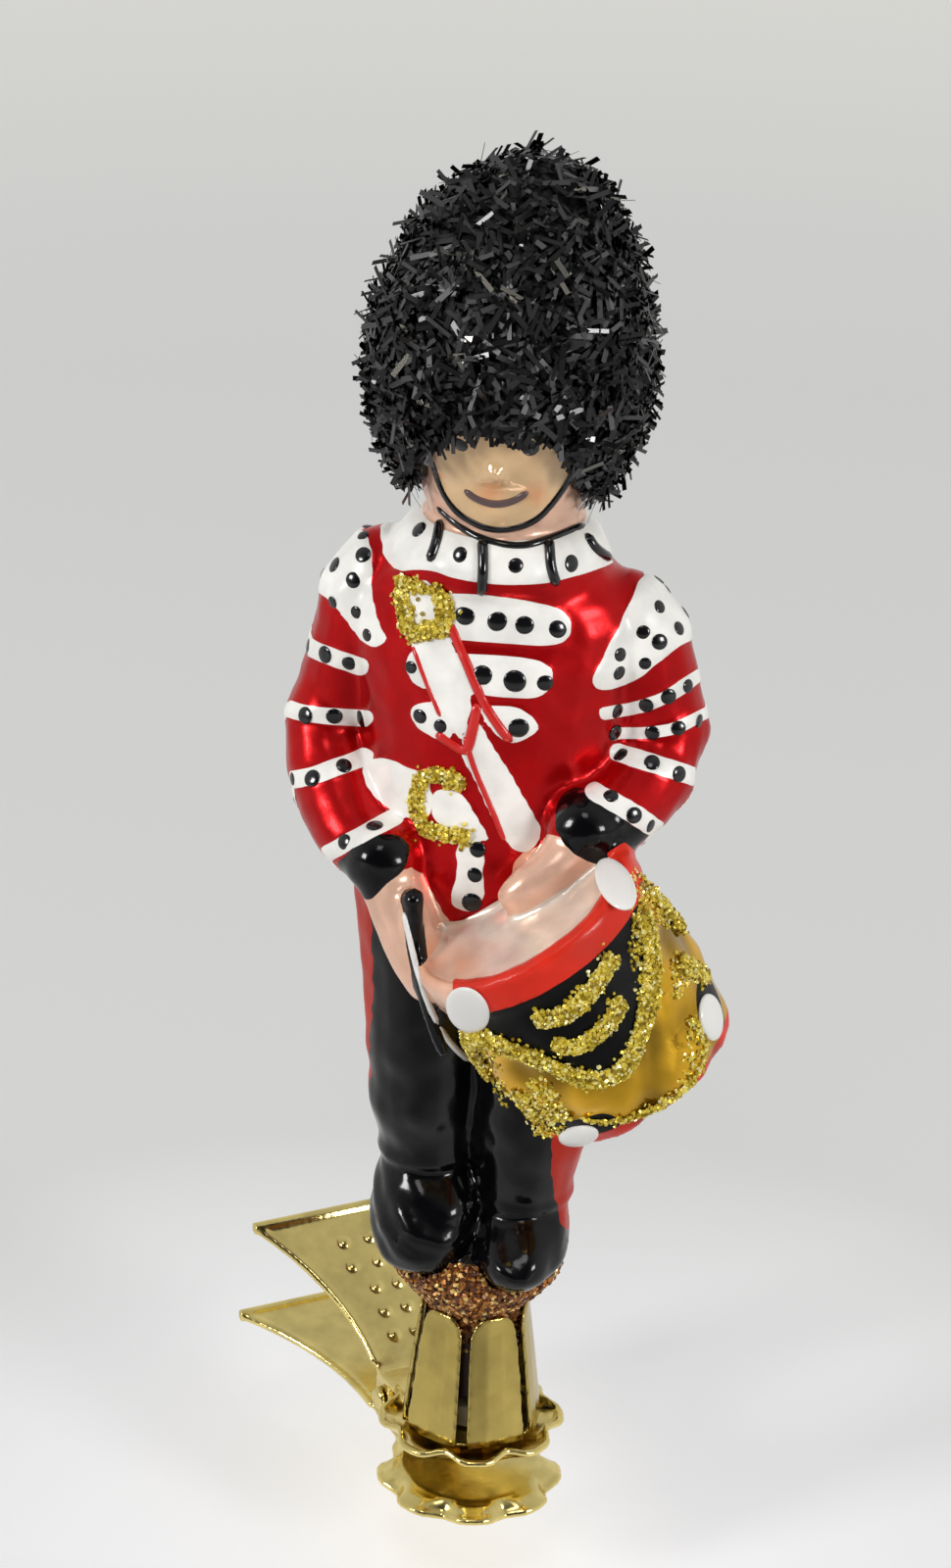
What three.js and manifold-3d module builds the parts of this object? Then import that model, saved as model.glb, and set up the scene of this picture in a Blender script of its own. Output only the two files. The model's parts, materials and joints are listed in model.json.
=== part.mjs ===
import * as THREE from 'three';
import { mergeVertices } from 'three/addons/utils/BufferGeometryUtils.js';
import Module from 'manifold-3d';

const wasm = await Module();
wasm.setup();

// Guard drummer clip ornament, in millimetres, +Z up, the figure faces -Y.
// The origin is the middle of the upper jaw's clamping face.

const FIT = 0.3; // gap between pieces that rest on each other

// Spring clip: two stamped brass levers on one pin
const CLIP_TURN = 36; // degrees from straight behind the figure to the finger tabs
const SHEET = 0.6; // thickness of the stamped sheet
const JAW_GAP = 4.4; // the jaws stand apart as on the edge of a shelf
const PAD_R = 6.9; // flat clamping face of each jaw
const RIM_OUT = 1.9; // scalloped rim beyond the flat face
const RIM_RISE = 1.1; // the rim curls away from the clamping face
const LOBES = 8; // scallops round a jaw
const LOBE_WAVE = 0.6; // scallops either side of the middle of the rim
const LOBE_ROUND = 0.3; // share that widens a scallop and narrows the dent beside it
const LOBE_DIP = 0.35; // how far a scallop dips for each part that it stands out
const LIP_R = 0.46; // rolled edge of the rim
const WAIST_W = 9.2; // strip from the jaw to the tab
const PIN_REACH = 12; // hinge pin behind the middle of the jaw
const PIN_R = 0.7;
const PIN_PLAY = 0.1; // pin in its holes, all round
const PIN_HEAD_R = 1.3;
const PIN_HEAD_T = 0.6;
const EAR_PLAY = 0.45; // ears clear of the other lever's strip
const TAB_LEN = 19; // along the slope
const TAB_W = 24; // at the finger end
const TAB_ROLL_R = 0.7; // rolled finger end
const TAB_HEM_R = 0.5; // turned side edges
const UPPER_SLOPE = 36; // degrees
const LOWER_SLOPE = 11; // degrees
const BEAD_R = 0.75; // embossed beads on the upper tab
const RIB_R = 0.6; // embossed ribs on the lower tab

// Torsion spring on the pin
const WIRE = 0.75;
const COIL_TURNS = 3.5;
const LEG_LEN = 8; // along each tab

// Petal cup and its flush rivet
const DIMPLE = 0.7; // the jaw is dimpled round the rivet's head
const RIVET_HEAD_R = 2.5;
const RIVET_SHANK_R = 1.1;
const RIVET_TAIL_R = 1.9;
const RIVET_TAIL_T = 0.6;
const CUP_SHEET = 0.45;
const CUP_H = 13.9; // petal tips above the cup's floor
const CUP_FLARE = 1.5; // the petals spread towards the floor
const PETALS = 6;
const PETAL_GAP = 8; // degrees
const PETAL_TURN = 1; // degrees from the figure's front to a gap
const PETAL_FLAT = 0.5; // 0 for petals bent round, 1 for flat ones
const BED_T = 1.6; // adhesive between the cup's floor and the glass neck

// Blown glass figure, levels above the soles
const WALL = 0.8;
const NECK_R = 3.9;
const NECK_CRUST = 0.6; // glitter on the neck
const SOLE_RISE = 5.7; // soles above the petal tips
const BOOT_H = 10.5;
const CUFF_DROP = 4; // the right trouser leg falls lower on its boot
const BOOT_BULGE = 0.6; // the left boot is that much wider to each side, the right one narrower
const HEM_Z = 41.5;
const WAIST_Z = 54;
const SHOULDER_Z = 71;
const COLLAR_Z = 75.5;
const FACE_Z = 84.5;
const HAT_Z = 95;
const HAT_R = 11.4;
const HAT_UP = 17; // crown above the widest part of the hat
const HAT_DOWN = 12.4; // brim below it
const HAT_TAPER = 1.6; // 2 for a round crown, less for a pointed one
const HAT_LEAN = 1.8; // the crown's top stands to one side
const SHOULDER_HALF = 14; // between the shoulders' middle and each upper arm
const SHOULDER_SHIFT = 0.35; // the shoulders' middle, to one side
const SHOULDER_RISE = 2.4; // one shoulder above the other
const ELBOW_HALF = 16.7;
const ARM_R = 4.8;
const LEG_HALF = 5.4; // middle of the stance to each leg
const STANCE = -0.5; // the stance is a little to one side
const DRUM_R = 11.2;
const DRUM_LEN = 22.3;
const DRUM_OVAL = 1.06; // width over depth
const HOOP_H = 3.8;
const HOOP_T = 0.3;
const DRUM_AT = new THREE.Vector3(10.5, -11.3, 35.4);
const DRUM_AXIS = new THREE.Vector3(-0.51, -0.21, 0.83).normalize();

// Glued trims
const CRUST_R = 0.9; // half the width of a glitter line
const TINSEL_BASE = 0.8; // matted foot of the tinsel coat
const TINSEL_LEN = 1.9; // strands beyond the foot
const TINSEL_COUNT = 400; // strands laid out over the whole dome

const rad = THREE.MathUtils.degToRad;

function weld(geometry) {
  const bare = new THREE.BufferGeometry();
  bare.setAttribute('position', geometry.getAttribute('position').clone());
  if (geometry.index) bare.setIndex(geometry.index.clone());
  const merged = mergeVertices(bare, 1e-4);
  const index = merged.index.array;
  const kept = [];
  for (let i = 0; i < index.length; i += 3) {
    const [a, b, c] = [index[i], index[i + 1], index[i + 2]];
    if (a !== b && b !== c && c !== a) kept.push(a, b, c);
  }
  merged.setIndex(kept);
  return merged;
}

function solid(geometry) {
  const g = weld(geometry);
  const mesh = new wasm.Mesh({
    numProp: 3,
    vertProperties: new Float32Array(g.getAttribute('position').array),
    triVerts: new Uint32Array(g.index.array),
  });
  return new wasm.Manifold(mesh);
}

function surface(body) {
  const mesh = body.getMesh();
  const g = new THREE.BufferGeometry();
  g.setAttribute('position', new THREE.BufferAttribute(new Float32Array(mesh.vertProperties), 3));
  g.setIndex(new THREE.BufferAttribute(new Uint32Array(mesh.triVerts), 1));
  g.computeVertexNormals();
  return g;
}

function join(geometries) {
  return geometries.map(solid).reduce((sum, next) => sum.add(next));
}

// The main body, without crumbs or pinched-off hollows
function mainBody(body) {
  return body.decompose().reduce((most, next) => (next.volume() > most.volume() ? next : most));
}

function gridGeometry(points, faces) {
  const g = new THREE.BufferGeometry();
  g.setAttribute('position', new THREE.Float32BufferAttribute(points.flatMap((p) => [p.x, p.y, p.z]), 3));
  g.setIndex(faces);
  return g;
}

// Closed body through oval sections; a station is [x, y, z, half width, half depth]
function loft(stations, { grow = 0, around = 18, steps = 9, level = true } = {}) {
  const spine = new THREE.CatmullRomCurve3(stations.map((s) => new THREE.Vector3(s[0], s[1], s[2])));
  const girth = new THREE.CatmullRomCurve3(stations.map((s) => new THREE.Vector3(s[3], s[4], 0)));
  const points = [];
  const faces = [];
  for (let i = 0; i <= steps; i++) {
    const t = i / steps;
    const middle = spine.getPoint(t);
    const size = girth.getPoint(t);
    const along = level ? new THREE.Vector3(0, 0, 1) : spine.getTangent(t);
    const wide = level
      ? new THREE.Vector3(1, 0, 0)
      : new THREE.Vector3(0, 1, 0.2).cross(along).normalize();
    const deep = along.clone().cross(wide);
    if (i === 0) middle.addScaledVector(along, -grow);
    if (i === steps) middle.addScaledVector(along, grow);
    for (let j = 0; j < around; j++) {
      const a = (j / around) * Math.PI * 2;
      points.push(
        middle
          .clone()
          .addScaledVector(wide, Math.cos(a) * Math.max(size.x + grow, 0.2))
          .addScaledVector(deep, Math.sin(a) * Math.max(size.y + grow, 0.2)),
      );
    }
  }
  for (let i = 0; i < steps; i++) {
    for (let j = 0; j < around; j++) {
      const a = i * around + j;
      const b = i * around + ((j + 1) % around);
      faces.push(a, b, a + around, b, b + around, a + around);
    }
  }
  const last = steps * around;
  for (let j = 1; j < around - 1; j++) {
    faces.push(0, j + 1, j);
    faces.push(last, last + j, last + j + 1);
  }
  return gridGeometry(points, faces);
}

// Closed ring whose section may change with the angle round +Z
function ringBody(sectionAt, around) {
  const count = sectionAt(0).length;
  const points = [];
  const faces = [];
  for (let i = 0; i < around; i++) {
    const a = (i / around) * Math.PI * 2;
    for (const [r, z] of sectionAt(a)) points.push(new THREE.Vector3(r * Math.cos(a), r * Math.sin(a), z));
  }
  for (let i = 0; i < around; i++) {
    const n = (i + 1) % around;
    for (let j = 0; j < count; j++) {
      const k = (j + 1) % count;
      faces.push(i * count + j, n * count + j, i * count + k);
      faces.push(n * count + j, n * count + k, i * count + k);
    }
  }
  return gridGeometry(points, faces);
}

// Closed sheet between two matching grids of points, the first one facing out
function slab(front, back) {
  const rows = front.length;
  const cols = front[0].length;
  const points = [...front.flat(), ...back.flat()];
  const faces = [];
  const off = rows * cols;
  const quad = (a, b, c, d) => faces.push(a, b, c, a, c, d);
  for (let i = 0; i < rows - 1; i++) {
    for (let j = 0; j < cols - 1; j++) {
      const a = i * cols + j;
      quad(a, a + 1, a + 1 + cols, a + cols);
      quad(off + a, off + a + cols, off + a + 1 + cols, off + a + 1);
    }
  }
  for (let j = 0; j < cols - 1; j++) {
    const top = (rows - 1) * cols + j;
    quad(j, off + j, off + j + 1, j + 1);
    quad(top, top + 1, off + top + 1, off + top);
  }
  for (let i = 0; i < rows - 1; i++) {
    const left = i * cols;
    const right = left + cols - 1;
    quad(left, left + cols, off + left + cols, off + left);
    quad(right, off + right, off + right + cols, right + cols);
  }
  return gridGeometry(points, faces);
}

// Turned body about +Z from a profile of [radius, height] that starts and ends on the axis
function turned(profile, around = 24) {
  const g = new THREE.LatheGeometry(profile.map(([r, z]) => new THREE.Vector2(r, z)), around);
  return g.rotateX(Math.PI / 2);
}

function disc(r, z0, z1, around = 24) {
  return turned([[0, z0], [r, z0], [r, z1], [0, z1]], around);
}

function tube(points, radius, sides, steps, flat = 1) {
  const section = new THREE.Shape();
  for (let k = 0; k < sides; k++) {
    const a = (k / sides) * Math.PI * 2;
    const at = [Math.cos(a) * radius * flat, Math.sin(a) * radius];
    if (k === 0) section.moveTo(...at);
    else section.lineTo(...at);
  }
  section.closePath();
  const extrudePath = new THREE.CatmullRomCurve3(points);
  return new THREE.ExtrudeGeometry(section, { steps, extrudePath, bevelEnabled: false });
}

function finish(color, roughness, metalness) {
  return new THREE.MeshStandardMaterial({ color, roughness, metalness });
}

const ornament = new THREE.Group();
ornament.name = 'guard_drummer_clip_ornament';
const clip = new THREE.Group();
clip.name = 'clip';
clip.rotation.z = rad(CLIP_TURN);
ornament.add(clip);

function piece(owner, name, geometry, material) {
  const mesh = new THREE.Mesh(geometry, material);
  mesh.name = name;
  owner.add(mesh);
}

const brass = finish(0xb9a55a, 0.25, 1);
const goldGlitter = finish(0xc8b43c, 0.5, 0.8);

// Levers: the jaw's flat face, its scalloped rim, the strip with two ears, the finger tab
const PIN_Z = -JAW_GAP / 2;
const EAR_R = JAW_GAP / 2 - EAR_PLAY;
const BEND_Y = PIN_REACH + EAR_R * 0.6;
const STRIP_END = BEND_Y + 0.1;
const WAIST_HALF = WAIST_W / 2;
const EAR_OUT = WAIST_HALF - 0.1;
const EAR_IN = EAR_OUT - SHEET - FIT;

function jawPlate(z, hole) {
  const outline = new THREE.Shape();
  const turnOff = Math.asin(WAIST_HALF / (PAD_R + 0.3));
  outline.absarc(0, 0, PAD_R + 0.3, Math.PI / 2 + turnOff, Math.PI * 2.5 - turnOff, false);
  outline.lineTo(WAIST_HALF, STRIP_END);
  outline.lineTo(-WAIST_HALF, STRIP_END);
  outline.closePath();
  if (hole) outline.holes.push(new THREE.Path().absarc(0, 0, hole, 0, Math.PI * 2, true));
  const g = new THREE.ExtrudeGeometry(outline, { depth: SHEET, bevelEnabled: false, curveSegments: 24 });
  return g.translate(0, 0, z);
}

function jawRim(z, side) {
  const skin = SHEET / 2;
  return ringBody((a) => {
    const turn = LOBES * (a + Math.PI / 2) + Math.PI;
    const wave = LOBE_WAVE * (Math.cos(turn) - LOBE_ROUND * Math.cos(2 * turn));
    const out = RIM_OUT + wave;
    const rise = side * (RIM_RISE - LOBE_DIP * wave);
    const line = [0, 0.45, 0.8].map((u) => [PAD_R + out * u, z + skin + rise * u * u]);
    const foot = [PAD_R - 0.5, z + skin];
    const low = line.map(([r, h]) => [r, h - skin]);
    const high = line.map(([r, h]) => [r, h + skin]);
    low[0][1] += 0.12;
    high[0][1] -= 0.12;
    const lip = [-110, -60, -20, 20, 60, 110].map((degrees) => {
      const round = THREE.MathUtils.degToRad(degrees);
      return [PAD_R + out + LIP_R * Math.cos(round), z + skin + rise + LIP_R * Math.sin(round)];
    });
    return [foot, ...low, ...lip, ...high.reverse()];
  }, LOBES * 8);
}

function ear(x, side, root) {
  const shape = new THREE.Shape();
  const from = side > 0 ? Math.PI : 0;
  shape.moveTo(PIN_REACH + side * EAR_R, root);
  shape.lineTo(PIN_REACH - side * EAR_R, root);
  shape.lineTo(PIN_REACH - side * EAR_R, PIN_Z);
  shape.absarc(PIN_REACH, PIN_Z, EAR_R, from, from + Math.PI, false);
  shape.closePath();
  shape.holes.push(new THREE.Path().absarc(PIN_REACH, PIN_Z, PIN_R + PIN_PLAY, 0, Math.PI * 2, true));
  const g = new THREE.ExtrudeGeometry(shape, { depth: SHEET, bevelEnabled: false, curveSegments: 8 });
  const stand = new THREE.Matrix4().makeBasis(
    new THREE.Vector3(0, 1, 0),
    new THREE.Vector3(0, 0, 1),
    new THREE.Vector3(1, 0, 0),
  );
  return g.applyMatrix4(stand).translate(x, 0, 0);
}

function onTab(g, slope, z) {
  return g.rotateX(rad(slope)).translate(0, BEND_Y, z);
}

function tabPlate(slope, z) {
  const outline = new THREE.Shape();
  const half = TAB_W / 2;
  outline.moveTo(-WAIST_HALF + 0.1, -0.2);
  outline.lineTo(WAIST_HALF - 0.1, -0.2);
  outline.bezierCurveTo(WAIST_HALF, TAB_LEN * 0.35, half * 0.62, TAB_LEN * 0.72, half, TAB_LEN);
  outline.lineTo(-half, TAB_LEN);
  outline.bezierCurveTo(-half * 0.62, TAB_LEN * 0.72, -WAIST_HALF, TAB_LEN * 0.35, -WAIST_HALF + 0.1, -0.2);
  const g = new THREE.ExtrudeGeometry(outline, { depth: SHEET, bevelEnabled: false, curveSegments: 8 });
  return onTab(g, slope, z);
}

function tabRoll(slope, z) {
  const g = new THREE.CylinderGeometry(TAB_ROLL_R, TAB_ROLL_R, TAB_W + 0.6, 10);
  g.rotateZ(Math.PI / 2).translate(0, TAB_LEN, SHEET / 2);
  return onTab(g, slope, z);
}

function tabHems(slope, z) {
  const half = TAB_W / 2;
  return [-1, 1].map((s) => {
    const edge = new THREE.CubicBezierCurve3(
      new THREE.Vector3(s * (WAIST_HALF - 0.15), TAB_LEN * 0.07, SHEET / 2),
      new THREE.Vector3(s * WAIST_HALF, TAB_LEN * 0.38, SHEET / 2),
      new THREE.Vector3(s * half * 0.62, TAB_LEN * 0.72, SHEET / 2),
      new THREE.Vector3(s * half, TAB_LEN, SHEET / 2),
    );
    return onTab(tube(edge.getPoints(6), TAB_HEM_R, 7, 8), slope, z);
  });
}

function tabBeads(slope, z) {
  const beads = [];
  for (let row = 0; row < 5; row++) {
    const across = row < 3 ? [-1, 1] : [-2.4, 0, 2.4];
    for (const k of across) {
      const bead = new THREE.SphereGeometry(BEAD_R, 6, 4).rotateX(Math.PI / 2);
      bead.scale(1, 1, 0.7).translate(k * BEAD_R * 1.7, TAB_LEN * (0.2 + row * 0.15), SHEET - 0.13);
      beads.push(onTab(bead, slope, z));
    }
  }
  return beads;
}

function tabRibs(slope, z) {
  return [-1, 0, 1].map((k) => {
    const rib = new THREE.CapsuleGeometry(RIB_R, TAB_LEN * 0.4, 2, 6);
    rib.scale(1, 1, 0.7).translate(k * RIB_R * 4, TAB_LEN * 0.58, SHEET * 0.1);
    return onTab(rib, slope, z);
  });
}

function rimNotch(z) {
  const notch = new THREE.BoxGeometry(WAIST_W - 0.4, (RIM_OUT + LOBE_WAVE) * 2 + 2, (RIM_RISE + LIP_R) * 4);
  return solid(notch.translate(0, PAD_R + 1 + RIM_OUT + LOBE_WAVE, z + SHEET / 2));
}

function lever({ side, z, slope, earX, emboss, hole }) {
  const sides = [-earX - SHEET / 2, earX - SHEET / 2].map((x) => ear(x, side, z + SHEET / 2));
  const rim = solid(jawRim(z, side)).subtract(rimNotch(z));
  const tab = [tabPlate(slope, z), tabRoll(slope, z), ...tabHems(slope, z), ...emboss(slope, z)];
  return join([jawPlate(z, hole), ...tab, ...sides]).add(rim);
}

const dimpleR = RIVET_HEAD_R + FIT;
const dimple = ringBody(() => [
  [dimpleR + SHEET + 0.3, 0.1],
  [dimpleR + SHEET + 0.3, SHEET - 0.1],
  [dimpleR + SHEET, SHEET + 0.1],
  [dimpleR + SHEET * 0.8, SHEET + DIMPLE],
  [RIVET_SHANK_R + PIN_PLAY, SHEET + DIMPLE],
  [RIVET_SHANK_R + PIN_PLAY, DIMPLE + 0.02],
  [dimpleR, DIMPLE + 0.02],
  [dimpleR + 0.05, 0.05],
], 16);
const upper = lever({
  side: 1,
  z: 0,
  slope: UPPER_SLOPE,
  earX: EAR_OUT - SHEET / 2,
  emboss: tabBeads,
  hole: dimpleR + 0.1,
}).add(solid(dimple));
piece(clip, 'upper_lever', surface(upper), brass);

const lower = lever({
  side: -1,
  z: -JAW_GAP - SHEET,
  slope: LOWER_SLOPE,
  earX: EAR_IN - SHEET / 2,
  emboss: tabRibs,
});
piece(clip, 'lower_lever', surface(lower), brass);

// Hinge pin with two peened heads
const pinHalf = EAR_OUT + FIT * 0.5;
const pin = turned([
  [0, -pinHalf - PIN_HEAD_T],
  [PIN_HEAD_R * 0.7, -pinHalf - PIN_HEAD_T],
  [PIN_HEAD_R, -pinHalf - PIN_HEAD_T * 0.5],
  [PIN_HEAD_R, -pinHalf],
  [PIN_R, -pinHalf],
  [PIN_R, pinHalf],
  [PIN_HEAD_R, pinHalf],
  [PIN_HEAD_R, pinHalf + PIN_HEAD_T * 0.5],
  [PIN_HEAD_R * 0.7, pinHalf + PIN_HEAD_T],
  [0, pinHalf + PIN_HEAD_T],
], 16);
pin.rotateY(Math.PI / 2).translate(0, PIN_REACH, PIN_Z);
piece(clip, 'hinge_pin', weld(pin), finish(0xa8954f, 0.3, 1));

// Torsion spring: one wire, both legs under load against the tabs
const coilR = PIN_R + FIT + WIRE / 2;
const coilHalf = EAR_IN - SHEET - FIT - WIRE / 2;
const wirePath = [];
function legPoint(x, slope, face, side, s) {
  const lift = side * (FIT + WIRE / 2);
  const y = BEND_Y + s * Math.cos(rad(slope)) - lift * Math.sin(rad(slope));
  return new THREE.Vector3(x, y, face + s * Math.sin(rad(slope)) + lift * Math.cos(rad(slope)));
}
for (let k = 3; k >= 0; k--) wirePath.push(legPoint(-coilHalf, UPPER_SLOPE, 0, -1, 1.5 + (k * LEG_LEN) / 3));
const curlSteps = Math.round(COIL_TURNS * 8);
for (let k = 0; k <= curlSteps; k++) {
  const turn = Math.PI / 2 + (k / curlSteps) * COIL_TURNS * Math.PI * 2;
  const x = -coilHalf + (k / curlSteps) * coilHalf * 2;
  wirePath.push(new THREE.Vector3(x, PIN_REACH + coilR * Math.cos(turn), PIN_Z + coilR * Math.sin(turn)));
}
for (let k = 0; k <= 3; k++) {
  wirePath.push(legPoint(coilHalf, LOWER_SLOPE, -JAW_GAP, 1, 1.5 + (k * LEG_LEN) / 3));
}
piece(clip, 'torsion_spring', weld(tube(wirePath, WIRE / 2, 5, wirePath.length)), finish(0x9a9a96, 0.3, 1));

const coilCurve = new THREE.CatmullRomCurve3(wirePath);
const coilDots = coilCurve.getSpacedPoints(400);
const coilStep = coilCurve.getLength() / 400;
let coilGap = Infinity;
for (let i = 0; i < coilDots.length; i++) {
  for (let j = i + Math.ceil((coilR * 3) / coilStep); j < coilDots.length; j++) {
    coilGap = Math.min(coilGap, coilDots[i].distanceTo(coilDots[j]) - WIRE);
  }
}
console.log(`torsion_spring least gap to itself ${coilGap.toFixed(2)} mm`);

// Petal cup, riveted through its floor
const FLOOR_Z = SHEET + DIMPLE + FIT;
const FLOOR_TOP = FLOOR_Z + CUP_SHEET;
const CUP_TOP = FLOOR_TOP + CUP_H;
const CUP_IN = NECK_R + FIT * 2 + NECK_CRUST;

function petal(k) {
  const middle = rad(PETAL_TURN - CLIP_TURN - 90 + (k + 0.5) * (360 / PETALS));
  const half = rad((360 / PETALS - PETAL_GAP) / 2);
  const rows = [
    [0, 0.94, CUP_FLARE],
    [0.05, 1, CUP_FLARE],
    [0.35, 1, CUP_FLARE * 0.66],
    [0.65, 1, CUP_FLARE * 0.32],
    [0.86, 0.98, 0.08],
    [0.94, 0.84, 0],
    [0.985, 0.56, 0],
    [1, 0.3, 0],
  ];
  const side = (extra) =>
    rows.map(([h, w, flare]) =>
      [-1, -0.33, 0.33, 1].map((j) => {
        const off = half * w * j;
        const r = (CUP_IN + flare + extra) * (1 + PETAL_FLAT * (1 / Math.cos(off) - 1));
        const a = middle + off;
        return new THREE.Vector3(r * Math.cos(a), r * Math.sin(a), FLOOR_Z + (CUP_TOP - FLOOR_Z) * h);
      }),
    );
  return slab(side(CUP_SHEET), side(0));
}

const floorR = CUP_IN + CUP_FLARE + CUP_SHEET * 0.5;
const petals = Array.from({ length: PETALS }, (_, k) => petal(k));
const cup = join([disc(floorR, FLOOR_Z, FLOOR_TOP, 36), ...petals]);
const rivetHole = solid(disc(RIVET_SHANK_R + PIN_PLAY, FLOOR_Z - 1, FLOOR_TOP + 1, 20));
piece(clip, 'petal_cup', surface(cup.subtract(rivetHole)), brass);

const TAIL_Z = FLOOR_TOP + FIT;
const rivet = turned([
  [0, 0],
  [RIVET_HEAD_R, 0],
  [RIVET_HEAD_R, DIMPLE - FIT * 0.5],
  [RIVET_SHANK_R, DIMPLE - FIT * 0.5],
  [RIVET_SHANK_R, TAIL_Z],
  [RIVET_TAIL_R, TAIL_Z],
  [RIVET_TAIL_R, TAIL_Z + RIVET_TAIL_T * 0.6],
  [RIVET_TAIL_R * 0.7, TAIL_Z + RIVET_TAIL_T],
  [0, TAIL_Z + RIVET_TAIL_T],
], 20);
piece(clip, 'cup_rivet', weld(rivet), finish(0xa8954f, 0.3, 1));

// Adhesive bed over the rivet's tail, under the glass neck
const BED_TOP = TAIL_Z + RIVET_TAIL_T + BED_T;
const bed = turned([
  [0, TAIL_Z + RIVET_TAIL_T + FIT],
  [RIVET_TAIL_R + FIT, TAIL_Z + RIVET_TAIL_T + FIT],
  [RIVET_TAIL_R + FIT, FLOOR_TOP + FIT],
  [NECK_R, FLOOR_TOP + FIT],
  [NECK_R, BED_TOP],
  [0, BED_TOP],
], 24);
piece(ornament, 'adhesive_bed', weld(bed), finish(0xd8cfae, 0.5, 0));

// Figure: everything below is measured from the soles
const SOLE_Z = CUP_TOP + SOLE_RISE;
const figure = new THREE.Group();
figure.name = 'figure';
figure.position.z = SOLE_Z;
ornament.add(figure);
const NECK_END = BED_TOP + FIT - SOLE_Z;

const torsoLine = [
  [0, 0, HEM_Z - 4, 10.6, 8.0],
  [0, -1.2, HEM_Z, 12.8, 10.6],
  [0, -1.0, HEM_Z + 5, 13.0, 10.3],
  [0, -0.6, WAIST_Z, 12.9, 9.6],
  [0, -0.6, WAIST_Z + 7, 13.4, 10.2],
  [0, 0, SHOULDER_Z - 4, 14.6, 10.0],
  [0, 0.2, SHOULDER_Z, 14.4, 9.2],
  [-0.4, 0, COLLAR_Z - 1.4, 11.6, 8.6],
  [-0.3, 0, COLLAR_Z + 1.4, 8.0, 7.2],
];
const collarLine = [
  [0, 0, COLLAR_Z - 2.4, 10.6, 8.6],
  [-0.3, -0.2, COLLAR_Z - 1.2, 11.0, 9.4],
  [-0.3, -0.3, COLLAR_Z + 0.6, 10.4, 9.4],
  [0, -0.2, COLLAR_Z + 2.8, 9.0, 8.5],
  [0, 0, COLLAR_Z + 4, 7.0, 7.0],
];
const headLine = [
  [0, 0.2, FACE_Z - 8.0, 4.6, 4.6],
  [0, 0, FACE_Z - 6.2, 6.6, 6.8],
  [0, 0, FACE_Z - 3.4, 7.9, 8.1],
  [0, 0, FACE_Z, 8.4, 8.5],
  [0, 0, FACE_Z + 4, 8.2, 8.3],
  [0, 0, FACE_Z + 8, 6.6, 6.8],
];
function hatRadius(z) {
  const up = (z - HAT_Z) / HAT_UP;
  const down = (HAT_Z - z) / HAT_DOWN;
  return HAT_R * (up > 0 ? Math.sqrt(Math.max(1 - up ** HAT_TAPER, 0.01)) : 1 - 0.36 * down ** 3);
}
function hatMiddle(z) {
  return HAT_LEAN * Math.max((z - HAT_Z) / HAT_UP, 0) ** 2;
}
const hatLine = [-1, -0.8, -0.4].map((v) => HAT_Z + v * HAT_DOWN)
  .concat([0, 0.35, 0.65, 0.85, 0.96, 1].map((v) => HAT_Z + v * HAT_UP))
  .map((z) => [hatMiddle(z), 0.2, z, hatRadius(z), hatRadius(z)]);
const leftGlove = [-8.9, -10.4, HEM_Z + 5.2];
const rightGlove = [10.4, -9.2, HEM_Z + 10];
const armLines = [-1, 1].map((s) => {
  const glove = s < 0 ? leftGlove : rightGlove;
  const elbowZ = WAIST_Z + (s < 0 ? 1.2 : 3.0);
  const rise = s < 0 ? SHOULDER_RISE : 0;
  const shoulder = SHOULDER_SHIFT + s * SHOULDER_HALF;
  const elbow = s * ELBOW_HALF;
  return [
    [shoulder - s * 4.2, 0.3, SHOULDER_Z + 0.6 + rise, ARM_R - 1.4, ARM_R - 1.4],
    [shoulder - s * 0.9, 0.3, SHOULDER_Z - 2 + rise, ARM_R - 0.4, ARM_R - 0.2],
    [shoulder, 0.4, SHOULDER_Z - 5.5 + rise * 0.4, ARM_R - 0.3, ARM_R],
    [(shoulder + elbow) / 2, 0.6, (SHOULDER_Z - 6 + elbowZ) / 2, ARM_R - 0.4, ARM_R - 0.2],
    [elbow, -0.2, elbowZ, ARM_R - 0.4, ARM_R - 0.3],
    [elbow - s * 2.4, -4.8, (elbowZ + glove[2]) / 2 - 1, ARM_R - 0.6, ARM_R - 0.6],
    [(elbow - s * 2.4 + glove[0]) / 2, -8.0, glove[2] + 0.6, ARM_R - 1, ARM_R - 1],
    [glove[0], glove[1] + 0.6, glove[2], ARM_R - 1.5, ARM_R - 1.5],
  ];
});
const cuffHeight = (s) => BOOT_H - (s > 0 ? CUFF_DROP : 0);
const legLines = [-1, 1].map((s) => [
  [STANCE + s * (LEG_HALF - 0.5), 0, cuffHeight(s) - 3, 4.6, 5.2],
  [STANCE + s * (LEG_HALF - 0.5), 0.2, cuffHeight(s) + 1, 4.8, 5.5],
  [STANCE + s * (LEG_HALF - 0.2), 0, cuffHeight(s) + 5, 5.7, 6.4],
  [STANCE + s * LEG_HALF, 0, (HEM_Z + BOOT_H) / 2, 6.0, 6.7],
  [STANCE + s * (LEG_HALF + 0.5), 0, HEM_Z - 6, 6.7, 7.3],
  [STANCE + s * (LEG_HALF + 0.7), 0.2, HEM_Z + 1, 7.3, 7.5],
]);
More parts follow.
